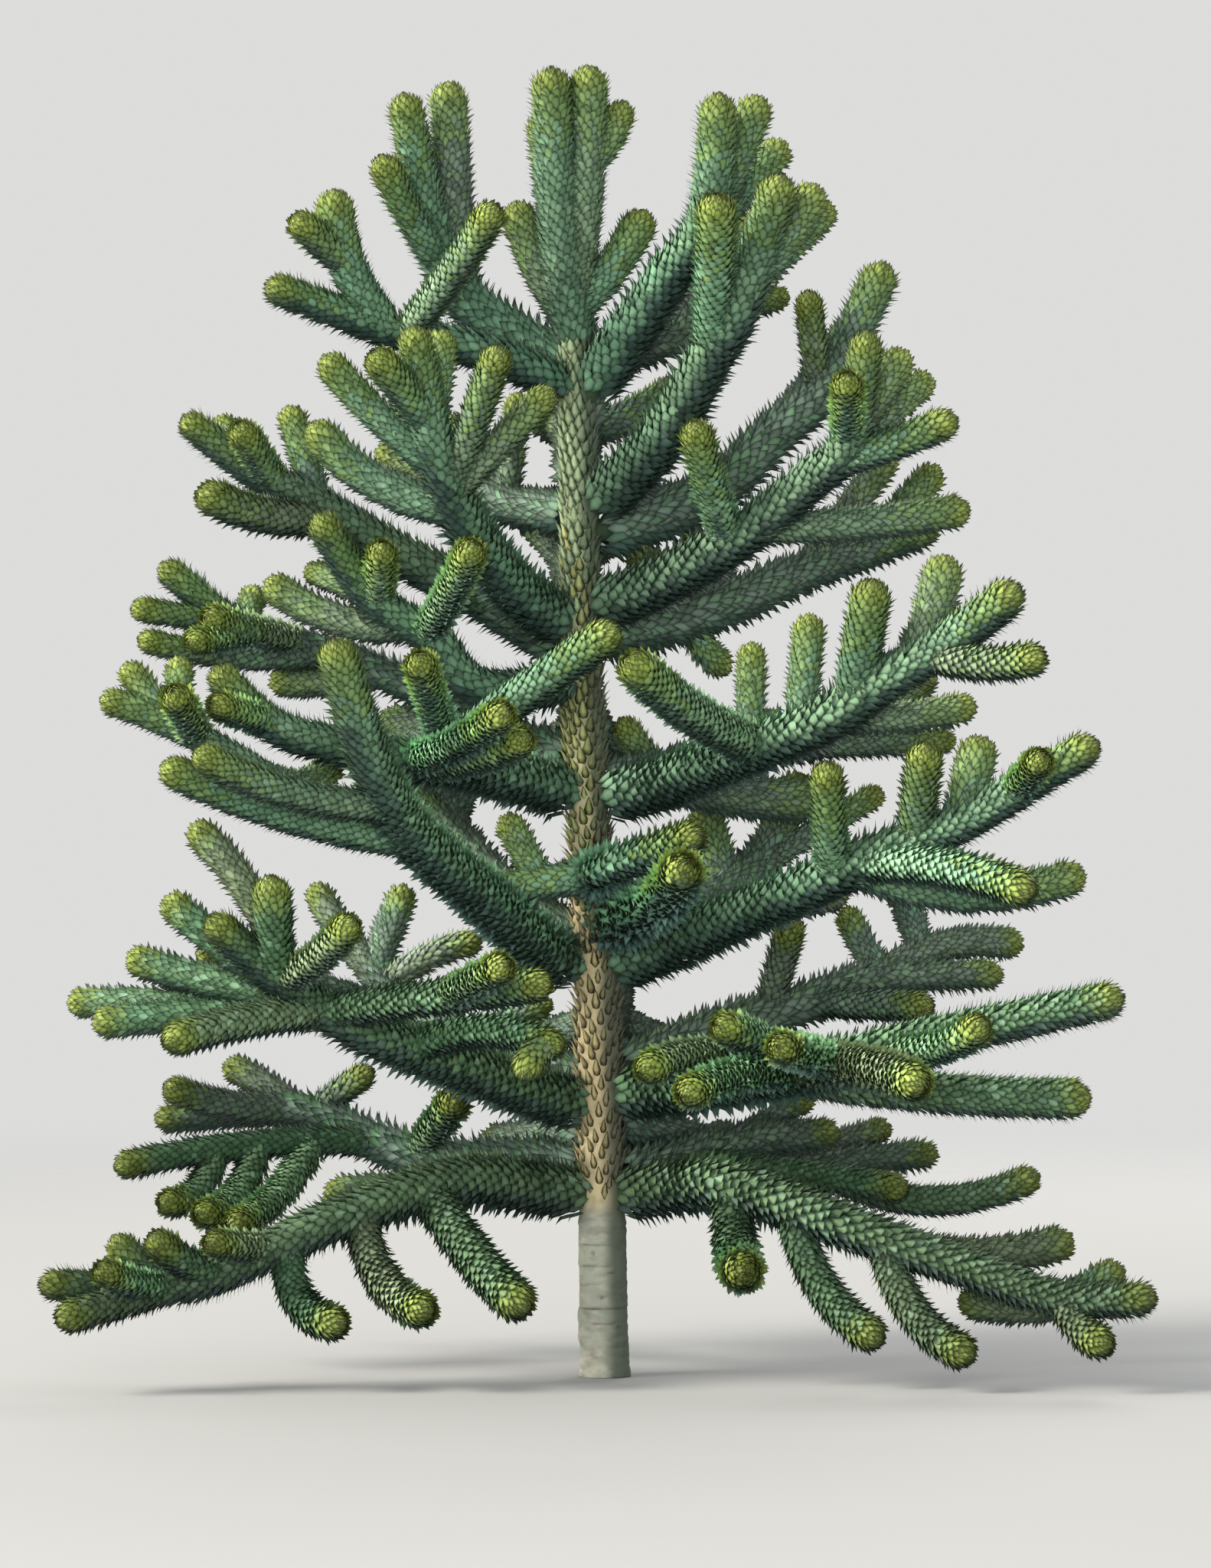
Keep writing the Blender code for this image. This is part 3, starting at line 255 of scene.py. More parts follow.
def placed(place):
    # what lies nearer the viewer than the trunk is smaller than it looks
    across, up, depth = np.array(place) / 1000
    scale = (view["away"] + depth) / view["away"]
    return np.array([across * scale, depth, view["eyeHeight"] + (up - view["eyeHeight"]) * scale])


def smoothPoints(knots, steps=12):
    # a curve that runs through every knot
    ends = [2 * knots[0] - knots[1]] + knots + [2 * knots[-1] - knots[-2]]
    points = []
    for a, b, c, d in zip(ends, ends[1:], ends[2:], ends[3:]):
        for step in range(steps):
            t = step / steps
            points.append(0.5 * (2 * b + (c - a) * t + (2 * a - 5 * b + 4 * c - d) * t * t
                                 + (3 * b - a - 3 * c + d) * t ** 3))
    return points + [knots[-1]]


def bowedPoints(root, tip, bow, steps=16):
    along = (tip - root) / np.linalg.norm(tip - root)
    lift = np.array([0.0, 0.0, 1.0]) - along * along[2]
    handle = (root + tip) / 2 + lift / np.linalg.norm(lift) * 2 * bow
    share = np.linspace(0, 1, steps + 1)[:, None]
    return (1 - share) ** 2 * root + 2 * share * (1 - share) * handle + share ** 2 * tip


def makeLine(points):
    # a middle line with a frame that is carried along it without twist
    points = np.array(points, float)
    marks = np.concatenate([[0.0], np.cumsum(np.linalg.norm(np.diff(points, axis=0), axis=1))])
    alongs = np.gradient(points, marks, axis=0)
    alongs /= np.linalg.norm(alongs, axis=1)[:, None]
    side = np.cross(alongs[0], (0.0, 1.0, 0.3))  # a direction that no limb starts in
    sides = []
    for along in alongs:
        side = side - along * np.dot(side, along)
        side = side / np.linalg.norm(side)
        sides.append(side)
    return {"points": points, "marks": marks, "alongs": alongs, "sides": np.array(sides),
            "length": marks[-1]}


def frameAt(line, marks):
    # middle, along, side and up at each mark
    def read(table):
        return np.stack([np.interp(marks, line["marks"], table[:, k]) for k in range(3)], -1)

    along = read(line["alongs"])
    along /= np.linalg.norm(along, axis=-1)[..., None]
    side = read(line["sides"])
    side -= along * (side * along).sum(-1)[..., None]
    side /= np.linalg.norm(side, axis=-1)[..., None]
    return read(line["points"]), along, side, np.cross(along, side)


def layOut(row, tier):
    # the limbs of one cluster: its own line first, then its shoots in order
    name, height, width, way, shoots = row
    isLeader = name == "leader"
    tipWidth, start = width / 1000, trunkPoint(height / 1000)
    rootWidth = tipWidth * limbShape["stemRootSwell"]
    if isLeader:
        start = trunkPoint(trunkShape["top"] - limbShape["leaderSink"])
    if "bough_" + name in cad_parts:
        rootWidth = limbShape["boughRootWidth"]
    shared = {"cluster": name, "tier": tier}
    line = makeLine(smoothPoints([start] + [placed(place) for place in way]))
    limbs = [dict(shared, line=line, rootWidth=rootWidth, tipWidth=tipWidth, main=True,
                  rooted=not isLeader, depth=way[-1][2] / 1000)]
    for shoot in shoots:
        leave, *tip, bow, width, on = (*shoot, *limbShape["usual"][len(shoot) - 4:])
        parent = limbs[on]["line"]
        root = frameAt(parent, np.array([leave / 100 * parent["length"]]))[0][0]
        line = makeLine(bowedPoints(root, placed(tip), bow / 1000))
        limbs.append(dict(shared, line=line, rootWidth=width / 1000, tipWidth=width / 1000,
                          main=False, rooted=False, depth=tip[2] / 1000))
    return limbs


limbs = [one for tier, rows in enumerate(tiers) for row in rows for one in layOut(row, tier)]
limbChance = np.random.default_rng(limbShape["toneSeed"]).uniform(0, 1, len(limbs))
for number, one in enumerate(limbs):
    one["number"] = number
    # how olive a limb is: most are hardly so
    one["tone"] = float(
        limbChance[number] ** 2 * (limbShape["mainTone"] if one["main"] else 1.0))


def reachAt(one, marks):
    # how far the leaf blades, without their points, stand from the middle line
    share = np.clip(marks / one["line"]["length"], 0, 1)
    return (one["rootWidth"] + (one["tipWidth"] - one["rootWidth"]) * share) / 2


def smoothStep(low, high, value):
    t = np.clip((value - low) / (high - low), 0, 1)
    return t * t * (3 - 2 * t)


def bell(value):
    return np.exp(-value ** 2)


def softNoise(points, size, seed, entries=8192):
    # smooth noise from -1 to 1 whose lumps are about `size` across
    table = np.random.default_rng(seed).uniform(-1, 1, entries)
    at = np.asarray(points) / size
    cell = np.floor(at).astype(np.int64)
    part = at - cell
    part = part * part * (3 - 2 * part)
    total = 0.0
    for corner in np.ndindex(2, 2, 2):
        x, y, z = np.moveaxis(cell + corner, -1, 0)
        # these large primes scatter the cells over the table
        key = (x * 73856093 ^ y * 19349663 ^ z * 83492791) % entries
        x, y, z = np.moveaxis(np.where(corner, part, 1 - part), -1, 0)
        total = total + table[key] * (x * y * z)
    return total


def meshPiece(name, points, faces, marks, smooth=True):
    # a mesh from arrays: triangles or quads, and named numbers on its points
    mesh = bpy.data.meshes.new(name)
    count, sides = faces.shape
    mesh.vertices.add(len(points))
    mesh.vertices.foreach_set("co", points.astype(np.float32).ravel())
    mesh.loops.add(count * sides)
    mesh.loops.foreach_set("vertex_index", faces.astype(np.int32).ravel())
    mesh.polygons.add(count)
    mesh.polygons.foreach_set("loop_start", np.arange(0, count * sides, sides, dtype=np.int32))
    mesh.polygons.foreach_set("use_smooth", np.full(count, smooth))
    for label, values in marks.items():
        mesh.attributes.new(label, "FLOAT", "POINT")
        mesh.attributes[label].data.foreach_set("value", values.astype(np.float32).ravel())
    mesh.update(calc_edges=True)
    mesh.validate()
    piece = bpy.data.objects.new(name, mesh)
    bpy.context.scene.collection.objects.link(piece)
    return piece


def tubeFaces(rings, sides):
    # quads between rings of points that follow each other
    row = np.arange(rings - 1)[:, None] * sides
    a = (row + np.arange(sides)[None]).ravel()
    b = (row + (np.arange(sides)[None] + 1) % sides).ravel()
    return np.stack([a, b, b + sides, a + sides], 1)


# One leaf of eight faces, its points across and along it. It starts as a point in the
# wood, widens to a keeled blade that hugs the limb, and ends in a hook that stands out.
leafPoints = {
    "across": np.array([0.0, -0.5, 0.0, 0.5, -0.43, 0.0, 0.43, 0.0]),
    "along": np.array([-0.05, 0.34, 0.36, 0.34, 0.74, 0.79, 0.74, 1.0]),
    "edge": np.array([0.6, 1.0, 0.0, 1.0, 1.0, 0.0, 1.0, 1.0]),
}
leafFaces = np.array([
    (0, 2, 1), (0, 3, 2), (1, 2, 5), (1, 5, 4), (2, 3, 6), (2, 6, 5), (4, 5, 7), (5, 6, 7),
])

leafShape = {  # on a shoot whose blades reach 3.1 cm from its middle
    "usualReach": 0.031,
    "length": 0.0295,
    "width": 0.0178,
    "room": 1.95e-4,  # surface that each leaf covers, in square metres
    "sizeGrowth": 0.3,  # how leaves grow with the limb's own thickness
    "keel": 0.002,  # how far the ridge stands over the edges
    "sink": 0.2,  # depth of its foot, as a share of the reach
    "hug": 0.06,  # depth of the widest place, as a share of its length
    "stand": 0.0135,  # how far its point stands over the blades
    "lift": 0.15,  # how much of that the edges reach at three quarters of the blade
    "ridgeLift": 0.12,  # and how much more the ridge does
    "mainSize": 1.2,  # leaves of the main limbs against those of the shoots
    "mainEnd": (0.45, 0.9),  # which fades over this share of the limb
    "mainStand": 1.3,  # how far they stand out, against the shoots
    "tipSize": 0.6,  # leaves of the growing tip against the others
    "tipRun": 0.1,  # over this length
    "tipStand": 0.15,  # and how much closer they lie
    "goldenTurn": math.radians(137.508),
    "wander": 0.16,  # how unlike each other leaves are
    "sizeSpread": 0.6,  # the share of it that their sizes take
    "lean": math.radians(7),
    "marks": 500,  # places at which a limb is measured for its spiral
    "seed": 7,
}


def spiralMarks(fine, density):
    # where the leaves of a spiral stand, when so many are asked for along `fine`
    counted = np.concatenate([[0], np.cumsum((density[1:] + density[:-1]) / 2 * np.diff(fine))])
    return np.interp(np.arange(int(counted[-1])) + 0.5, counted, fine)


def leavesOf(one, rng):
    # every leaf of one limb as eight points, by a spiral that keeps its spacing
    line, shape = one["line"], leafShape
    length = line["length"]
    cap = reachAt(one, length)
    straight = length - cap  # beyond it the end is round

    def bendAt(marks):
        return np.clip((marks - straight) / cap, 0, math.pi / 2)

    surface = straight + cap * math.pi / 2
    fine = np.linspace(0.0, surface, shape["marks"])
    reach = reachAt(one, fine)
    growth = (reach / shape["usualReach"]) ** shape["sizeGrowth"]
    if one["rooted"]:
        inner = 1 - smoothStep(*shape["mainEnd"], fine / length)
        growth = growth * (1 + (shape["mainSize"] - 1) * inner)
    small, closer = shape["tipSize"], shape["tipStand"]
    young = small + (1 - small) * smoothStep(0.0, shape["tipRun"], surface - fine)
    girth = 2 * math.pi * (np.cos(bendAt(fine)) * reach)
    at = spiralMarks(fine, girth / (shape["room"] * growth ** 2 * young ** 2))
    count = len(at)
    turn = np.arange(count) * shape["goldenTurn"] + rng.uniform(0, 2 * math.pi)
    size = np.interp(at, fine, growth * young)
    spread = shape["sizeSpread"]
    size = size * (1 + shape["wander"] * rng.uniform(-spread, spread, count))
    stand = shape["stand"] * np.interp(at, fine, growth * ((1 + closer) * young - closer)) * (
        1 + 2 * shape["wander"] * rng.uniform(-1, 1, count))
    if one["main"]:
        stand = stand * shape["mainStand"]
    lean = shape["lean"] * rng.normal(0, 1, count)
    long_, wide = shape["length"] * size, shape["width"] * size
    rows = at[:, None] + leafPoints["along"][None] * long_[:, None]
    bend = bendAt(rows)
    marks = np.where(rows > straight, straight + cap * np.sin(bend), rows)
    middle, along, side, up = frameAt(line, np.clip(marks, 0, length))
    reach = reachAt(one, marks)
    radial = side * np.cos(turn)[:, None, None] + up * np.sin(turn)[:, None, None]
    across = np.cross(along, radial)
    out = radial * np.cos(bend)[..., None] + along * np.sin(bend)[..., None]
    height = np.empty_like(rows)
    height[:, 0] = -shape["sink"] * reach[:, 0]
    drop = (wide / 2) ** 2 / (2 * cap)
    height[:, 1] = height[:, 3] = -shape["hug"] * long_ - drop
    height[:, 2] = -shape["hug"] * long_ + shape["keel"] * size
    height[:, 4] = height[:, 6] = shape["lift"] * stand - 0.5 * drop
    height[:, 5] = (shape["lift"] + shape["ridgeLift"]) * stand + shape["keel"] * size
    height[:, 7] = stand
    shift = (leafPoints["across"][None] * wide[:, None]
             + (rows - at[:, None]) * np.tan(lean)[:, None])
    radius = np.cos(bend) * reach
    points = (middle + radial * radius[..., None] + out * height[..., None]
              + across * shift[..., None])
    return {
        "points": points, "at": at, "fromTip": surface - at, "out": out[:, 2, 2],
        "leafChance": rng.uniform(0, 1, count), "pick": rng.uniform(0, 1, count),
    }


crowd = {
    "step": 0.012,  # between the places by which limbs are found
    "hidden": 0.7,  # a leaf whose middle lies this deep in another limb is left out
    "search": 0.045,
    "trunkRoom": 0.01,  # so is one this near the trunk's wood
    "rootRoom": -0.006,  # a main limb's leaves begin this far outside the trunk
    "rootRun": 0.2,
    "rootMarks": 101,
}


def crowdTree():
    # every limb's middle line as one cloud of points, each with its limb and reach
    places, owners, reaches = [], [], []
    for one in limbs:
        length = one["line"]["length"]
        marks = np.linspace(0, length, max(4, round(length / crowd["step"])))
        places.extend(frameAt(one["line"], marks)[0])
        owners += [one["number"]] * len(marks)
        reaches.extend(reachAt(one, marks).tolist())
    found = kdtree.KDTree(len(places))
    for number, place in enumerate(places):
        found.insert(place, number)
    found.balance()
    return found, owners, reaches


limbMap, owners, reaches = crowdTree()


def offTrunk(places, room):
    # which places lie further than `room` outside the trunk's wood
    height = places[:, 2]
    off = np.hypot(places[:, 0] - readOff(trunkShape["lean"], height), places[:, 1])
    return off > readOff(trunkShape["radius"], height) + room


def keepFree(one, found):
    # which leaves are clear of the trunk and not buried in another limb
    middle = found["points"][:, 5]
    keep = offTrunk(middle, crowd["trunkRoom"])
    if one["rooted"]:
        marks = np.linspace(0, crowd["rootRun"], crowd["rootMarks"])
        outside = offTrunk(frameAt(one["line"], marks)[0], crowd["rootRoom"])
        keep &= found["at"] > marks[np.argmax(outside)]
    keep |= middle[:, 2] > trunkShape["top"]
    for number in np.nonzero(keep)[0]:
        for _, other, distance in limbMap.find_range(Vector(middle[number]), crowd["search"]):
            if owners[other] != one["number"] and distance < crowd["hidden"] * reaches[other]:
                keep[number] = False
                break
    return keep


# Which kind each leaf is: young tips yellow-green, then fresh green, then green, or deep
# green on the lowest tiers (painted shade), grey on the far limbs, and dark where it faces
# down (painted shade)
leafColours = {
    "tipRun": (0.02, 0.13),  # yellow-green fades into fresh green over this stretch
    "freshRun": (0.09, 0.3),
    "freshLeast": 0.25,  # the least freshness that makes a leaf fresh green
    "oldShare": (0.25, 0.62),  # old leaves of a main limb end over this share of it
    "greyFrom": 0.15,  # a limb whose tip lies this far behind the trunk is greyer
    "greyShare": 0.75,
    "deepTiers": 2,  # the limbs of this many lowest tiers are a deeper green, painted shade
    "deepShare": 0.85,
    "deepRun": 0.55,  # and fresh green is this much shorter on them
    "lowPaintedShadeTiers": 1,  # the shoots of this many lowest tiers are darker, painted shade
    "lowPaintedShadeRun": (0.4, 0.9),  # and their boughs, over this share
    "lowPaintedShade": 0.36,  # by this much
    "underMain": (0.05, 0.8),  # painted shade: leaves that face down are darker, under boughs
    "underShoot": (0.4, 1.00),  # and under shoots
    "blur": 0.3,  # how mixed the leaves are where two kinds meet
    "frontRun": (0.4, 0.8),  # limbs that come forward this steeply
    "frontTip": (0.03, 0.1),  # up to this far from their tips
    "frontPaintedLight": 0.9,  # have lighter leaves, painted light
    "frontRim": 0.4,  # with weaker dark rims
    "frontPoint": 0.14,  # and points
}


def dealKinds(one, found):
    rule, pick, fromTip = leafColours, found["pick"], found["fromTip"]
    isDeep = one["tier"] < rule["deepTiers"]
    kind = np.full(len(pick), "green")
    if one["main"]:
        share = 1 - fromTip / one["line"]["length"]
        kind[1 - smoothStep(*rule["oldShare"], share) > pick] = "old"
    if isDeep:
        # painted shade: the lowest tiers get a darker green
        kind[pick < rule["deepShare"]] = "deep"
    if one["depth"] > rule["greyFrom"]:
        kind[pick < rule["greyShare"]] = "grey"
    freshness = 1 - smoothStep(*rule["freshRun"], fromTip / (rule["deepRun"] if isDeep else 1.0))
    kind[freshness > rule["freshLeast"] + (1 - rule["freshLeast"]) * pick] = "fresh"
    # painted shade: leaves that face down go to the shade kind
    under = found["leafPaintedShade"] > 0.5 + rule["blur"] * (pick - 0.5)
    kind[under & (fromTip > rule["freshRun"][0])] = "shade"
    kind[found["leafYoung"] > 0.5 + rule["blur"] * (found["leafChance"] - 0.5)] = "tip"
    return kind


def lowPaintedShadeOf(one, at):
    # painted shade on the leaves of one limb, on the lowest tier
    if one["tier"] >= leafColours["lowPaintedShadeTiers"]:
        return np.zeros(len(at))
    share = at / one["line"]["length"]
    outward = smoothStep(*leafColours["lowPaintedShadeRun"], share) if one["main"] else 1.0
    return leafColours["lowPaintedShade"] * outward * np.ones(len(at))


def growAllLeaves():
    rng = np.random.default_rng(leafShape["seed"])
    rule, grown = leafColours, []
    for one in limbs:
        found = leavesOf(one, rng)
        at, fromTip = found["at"], found["fromTip"]
        facing = rule["underMain" if one["main"] else "underShoot"]
        found["leafPaintedShade"] = smoothStep(*facing, -found["out"])
        found["leafYoung"] = 1 - smoothStep(*rule["tipRun"], fromTip)
        found["limbToneAndShade"] = np.full(len(at), one["tone"])
        forward = -frameAt(one["line"], np.minimum(at, one["line"]["length"]))[1][:, 1]
        found["front"] = (smoothStep(*rule["frontRun"], forward)
                          * smoothStep(*rule["frontTip"], fromTip))
        # painted shade on the lowest tier, less painted light on limbs that come forward
        found["limbPaintedShadeAndLight"] = lowPaintedShadeOf(one, at) - rule["frontPaintedLight"] * found["front"]
        found["kind"] = dealKinds(one, found)
        keep = keepFree(one, found)
        grown.append({key: values[keep] for key, values in found.items()})
    return grown


perLeaf = ("leafChance", "limbToneAndShade", "limbPaintedShadeAndLight", "leafPaintedShade", "leafYoung")


def leafPiece(name, rows):
    # one piece of every leaf that its rows choose
    def read(what):
        return np.concatenate([found[what][mask] for _, found, mask in rows])

    points, front = read("points"), read("front")[:, None]
    count = len(points)
    faces = (leafFaces[None] + 8 * np.arange(count)[:, None, None]).reshape(-1, 3)
    run = np.clip(leafPoints["along"], 0, 1)[None]
    # painted light: dark rims and points are weaker on limbs that come forward
    marks = {"leafEdge": leafPoints["edge"][None] * (1 - leafColours["frontRim"] * front),
             "leafRun": run * (1 - leafColours["frontPoint"] * front)}
    marks.update({mark: np.repeat(read(mark), 8) for mark in perLeaf})
    return meshPiece(name, points.reshape(-1, 3), faces, marks)


def nodesOf(clusters):
    names = [mass + c for mass in ("foliage_", "bough_") for c in clusters]
    return [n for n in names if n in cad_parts]


# Small helpers for building materials


def addNode(tree, kind, **settings):
    node = tree.nodes.new("ShaderNode" + kind)
    for name, value in settings.items():
        setattr(node, name, value)
    return node


def plug(tree, node, values):
    # links each socket that is given, and sets each number or colour
    for label, value in values.items():
        if isinstance(value, bpy.types.NodeSocket):
            tree.links.new(value, node.inputs[label])
        else:
            node.inputs[label].default_value = (*value, 1) if isinstance(value, tuple) else value
    return node


def newGroup(name, inputs, output, kind):
    # a group whose inputs are named with their usual values, and which puts out one value
    group = bpy.data.node_groups.new(name, "ShaderNodeTree")
    for label, value in inputs.items():
        isColour = isinstance(value, tuple)
        socket = group.interface.new_socket(
            label, in_out="INPUT", socket_type="NodeSocketColor" if isColour else "NodeSocketFloat")
        socket.default_value = (*value, 1) if isColour else value
    group.interface.new_socket(output, in_out="OUTPUT", socket_type="NodeSocket" + kind)
    given = group.nodes.new("NodeGroupInput").outputs
    return group, given, group.nodes.new("NodeGroupOutput")


def useGroup(tree, group, values):
    return plug(tree, addNode(tree, "Group", node_tree=group), values).outputs[0]


def attribute(tree, name):
    return addNode(tree, "Attribute", attribute_name=name).outputs["Fac"]


def mathNode(tree, kind, *values, clamp=False):
    node = addNode(tree, "Math", operation=kind, use_clamp=clamp)
    return plug(tree, node, dict(enumerate(values))).outputs[0]


def mixColour(tree, share, a, b):
    return plug(tree, addNode(tree, "Mix", data_type="RGBA"), {0: share, 6: a, 7: b}).outputs[2]


def makeGrain():
    # uneven growth of wood and leaf: a mask from 0 to 1 that can be drawn out along the height
    group, given, end = newGroup(
        "grain", {"Scale": 50.0, "Detail": 3.0, "Height Stretch": 1.0, "Contrast": 1.0},
        "Mask", "Float")
    place = addNode(group, "TexCoord").outputs["Object"]
    x, y, z = plug(group, addNode(group, "SeparateXYZ"), {0: place}).outputs
    z = mathNode(group, "DIVIDE", z, given["Height Stretch"])
    drawn = plug(group, addNode(group, "CombineXYZ"), {0: x, 1: y, 2: z}).outputs[0]
    noise = plug(group, addNode(group, "TexNoise"),
                 {"Vector": drawn, "Scale": given["Scale"], "Detail": given["Detail"]})
    away = mathNode(group, "SUBTRACT", noise.outputs["Fac"], 0.5)
    mask = mathNode(group, "MULTIPLY_ADD", away, given["Contrast"], 0.5, clamp=True)
    plug(group, end, {"Mask": mask})
    return group


leafDrift = {"Scale": 7.0, "Detail": 2.0, "Contrast": 3.0}  # broad patches of another green
leafDark = {"foot": -2.8, "point": (4.2, -3.25)}  # how fast foot and point end; the dark foot is painted shade


def makeLeafTint(grain):
    # from each leaf's own marks: dark foot (painted shade), plain blade, darker edge and a dark
    # point
    group, given, end = newGroup("leafTint", {
        "Blade": (0.1, 0.3, 0.1), "Foot Shade": (0.02, 0.06, 0.03), "Edge": (0.03, 0.1, 0.05),
        "Point": (0.1, 0.07, 0.03), "Edge Strength": 0.6, "Edge Sharpness": 3.0,
        "Unlikeness": 0.3, "Drift": (0.1, 0.2, 0.15), "Drift Strength": 0.3,
        "Olive And Shade": (0.15, 0.16, 0.07), "Olive Strength": 0.5, "Shade": (0.05, 0.08, 0.06),
        "Shade Strength": 0.8, "Young": (0.18, 0.23, 0.05),
    }, "Color", "Color")

    def scaled(mark, strength):
        return mathNode(group, "MULTIPLY", mark, given[strength])

    run = attribute(group, "leafRun")
    patches = useGroup(group, grain, leafDrift)
    colour = given["Blade"]
    for share, what in (
            (scaled(patches, "Drift Strength"), "Drift"),
            # on limbs the olive is a tone dealt at random; on the trunk's leaves it is painted
            # shade
            (scaled(attribute(group, "limbToneAndShade"), "Olive Strength"), "Olive And Shade"),
            (attribute(group, "leafYoung"), "Young"),
            # shade is painted shade where a leaf faces down
            (scaled(attribute(group, "leafPaintedShade"), "Shade Strength"), "Shade")):
        colour = mixColour(group, share, colour, given[what])
    bright = mathNode(group, "SUBTRACT", attribute(group, "leafChance"), 0.5)
    bright = mathNode(group, "MULTIPLY_ADD", bright, given["Unlikeness"], 1.0)
    # painted shade darkens and painted light lightens each limb's leaves
    light = mathNode(group, "SUBTRACT", 1.0, attribute(group, "limbPaintedShadeAndLight"))
    bright = mathNode(group, "MULTIPLY", bright, light)
    colour = plug(group, addNode(group, "HueSaturation"),
                  {"Value": bright, "Color": colour}).outputs["Color"]
    # painted shade: each leaf's foot is darker where the leaf before lies over it
    foot = mathNode(group, "MULTIPLY_ADD", run, leafDark["foot"], 1.0, clamp=True)
    rim = mathNode(group, "POWER", attribute(group, "leafEdge"), given["Edge Sharpness"])
    point = mathNode(group, "MULTIPLY_ADD", run, *leafDark["point"], clamp=True)
    for share, what in ((foot, "Foot Shade"), (scaled(rim, "Edge Strength"), "Edge"), (point, "Point")):
        colour = mixColour(group, share, colour, given[what])
    plug(group, end, {"Color": colour})
    return group


def principled(name, roughness, specular):
    material = bpy.data.materials.new(name)
    material.use_nodes = True
    tree = material.node_tree
    values = {"Roughness": roughness, "Specular IOR Level": specular}
    return material, tree, plug(tree, tree.nodes["Principled BSDF"], values)


def bumpFrom(tree, shader, height, strength, distance):
    values = {"Strength": strength, "Distance": distance, "Height": height}
    bump = plug(tree, addNode(tree, "Bump"), values)
    plug(tree, shader, {"Normal": bump.outputs["Normal"]})


leafFinish = {  # slot, share of the olive, and the colours of blade, foot (painted shade), edge and drift
    "old": ("bough_leaves", 1.0, (0.146, 0.256, 0.15), (0.051, 0.099, 0.061),
            (0.022, 0.043, 0.027), (0.108, 0.222, 0.134)),
    # painted shade: leaves that face down
    "shade": ("bough_leaves", 1.0, (0.092, 0.16, 0.106), (0.034, 0.061, 0.049),
              (0.016, 0.029, 0.025), (0.076, 0.122, 0.1)),
    "green": ("shoot_leaves", 1.0, (0.174, 0.292, 0.164), (0.063, 0.126, 0.07),
              (0.024, 0.052, 0.029), (0.125, 0.255, 0.146)),
    # painted shade on the lowest tiers
    "deep": ("shoot_leaves", 1.0, (0.108, 0.206, 0.096), (0.041, 0.085, 0.041),
             (0.016, 0.034, 0.017), (0.078, 0.166, 0.08)),
    "grey": ("shoot_leaves", 0.5, (0.144, 0.206, 0.146), (0.065, 0.095, 0.065),
             (0.026, 0.04, 0.028), (0.146, 0.202, 0.152)),
    "fresh": ("crown_leaves", 0.4, (0.18, 0.272, 0.098), (0.065, 0.116, 0.043),
              (0.025, 0.048, 0.016), (0.136, 0.236, 0.09)),
    "tip": ("crown_leaves", 0.15, (0.186, 0.26, 0.066), (0.071, 0.102, 0.024),
            (0.027, 0.039, 0.009), (0.16, 0.23, 0.06)),
}
leafGloss = {"roughness": 0.68, "specular": 0.16, "bump": 0.25, "bumpDepth": 0.0006,
             "grain": {"Scale": 420.0, "Detail": 2.0}}
leafMarks = {
    "Edge Strength": 0.97, "Edge Sharpness": 2.1, "Unlikeness": 0.5, "Drift Strength": 0.65,
    "Olive And Shade": (0.195, 0.2, 0.115), "Olive Strength": 0.7,
    "Point": (0.022, 0.026, 0.014), "Shade": (0.048, 0.085, 0.07), "Shade Strength": 0.85,
    "Young": (0.212, 0.254, 0.048),
}


def leafMaterial(name, colours, groups, changes):
    material, tree, shader = principled(name, leafGloss["roughness"], leafGloss["specular"])
    values = {**dict(zip(("Blade", "Foot Shade", "Edge", "Drift"), colours)), **leafMarks, **changes}
    plug(tree, shader, {"Base Color": useGroup(tree, groups["tint"], values)})
    fine = useGroup(tree, groups["grain"], leafGloss["grain"])
    bumpFrom(tree, shader, fine, leafGloss["bump"], leafGloss["bumpDepth"])
    return material


def makeLeaves(groups):
    # one piece for each kind
    grown = growAllLeaves()
    for kind, (slot, oliveShare, *colours) in leafFinish.items():
        rows = [(one, found, found["kind"] == kind) for one, found in zip(limbs, grown)]
        rows = [row for row in rows if row[2].any()]
        piece = leafPiece("leaves_" + kind, rows)
        changes = {"Olive Strength": leafMarks["Olive Strength"] * oliveShare}
        piece.data.materials.append(leafMaterial("leaf " + kind, colours, groups, changes))
        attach(piece, "root")
        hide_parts(*nodesOf(sorted({one["cluster"] for one, _, _ in rows})))
        print(piece.name, len(piece.data.vertices) // 8, "leaves")


coreShape = {  # the wood under the leaves; its dark colour is partly the wood's own and partly painted shade between the leaves
    "share": 0.72,  # its radius against the leaves' own reach
    "root": 0.62,  # a main limb's wood is thinner by this at the trunk
    "rootRun": (0.03, 0.13),
    "step": 0.03,
    "sides": 8,
    "ends": ((0.08, 0.75), (0.0, 0.12)),  # last rings: share of the reach left, and radius
    "lastRing": 0.3,  # the last full ring, this share of the reach before the end
    "lumps": (0.02, 0.0012, 3),  # their size, height and seed
    # dark green wood, made darker as painted shade where it shows between leaves
    "colours": ((0.024, 0.048, 0.026), (0.05, 0.074, 0.036)),
    "grain": {"Scale": 60.0, "Detail": 4.0},
    "finish": (0.8, 0.2),  # roughness and specular
    "bump": (0.4, 0.002),
}


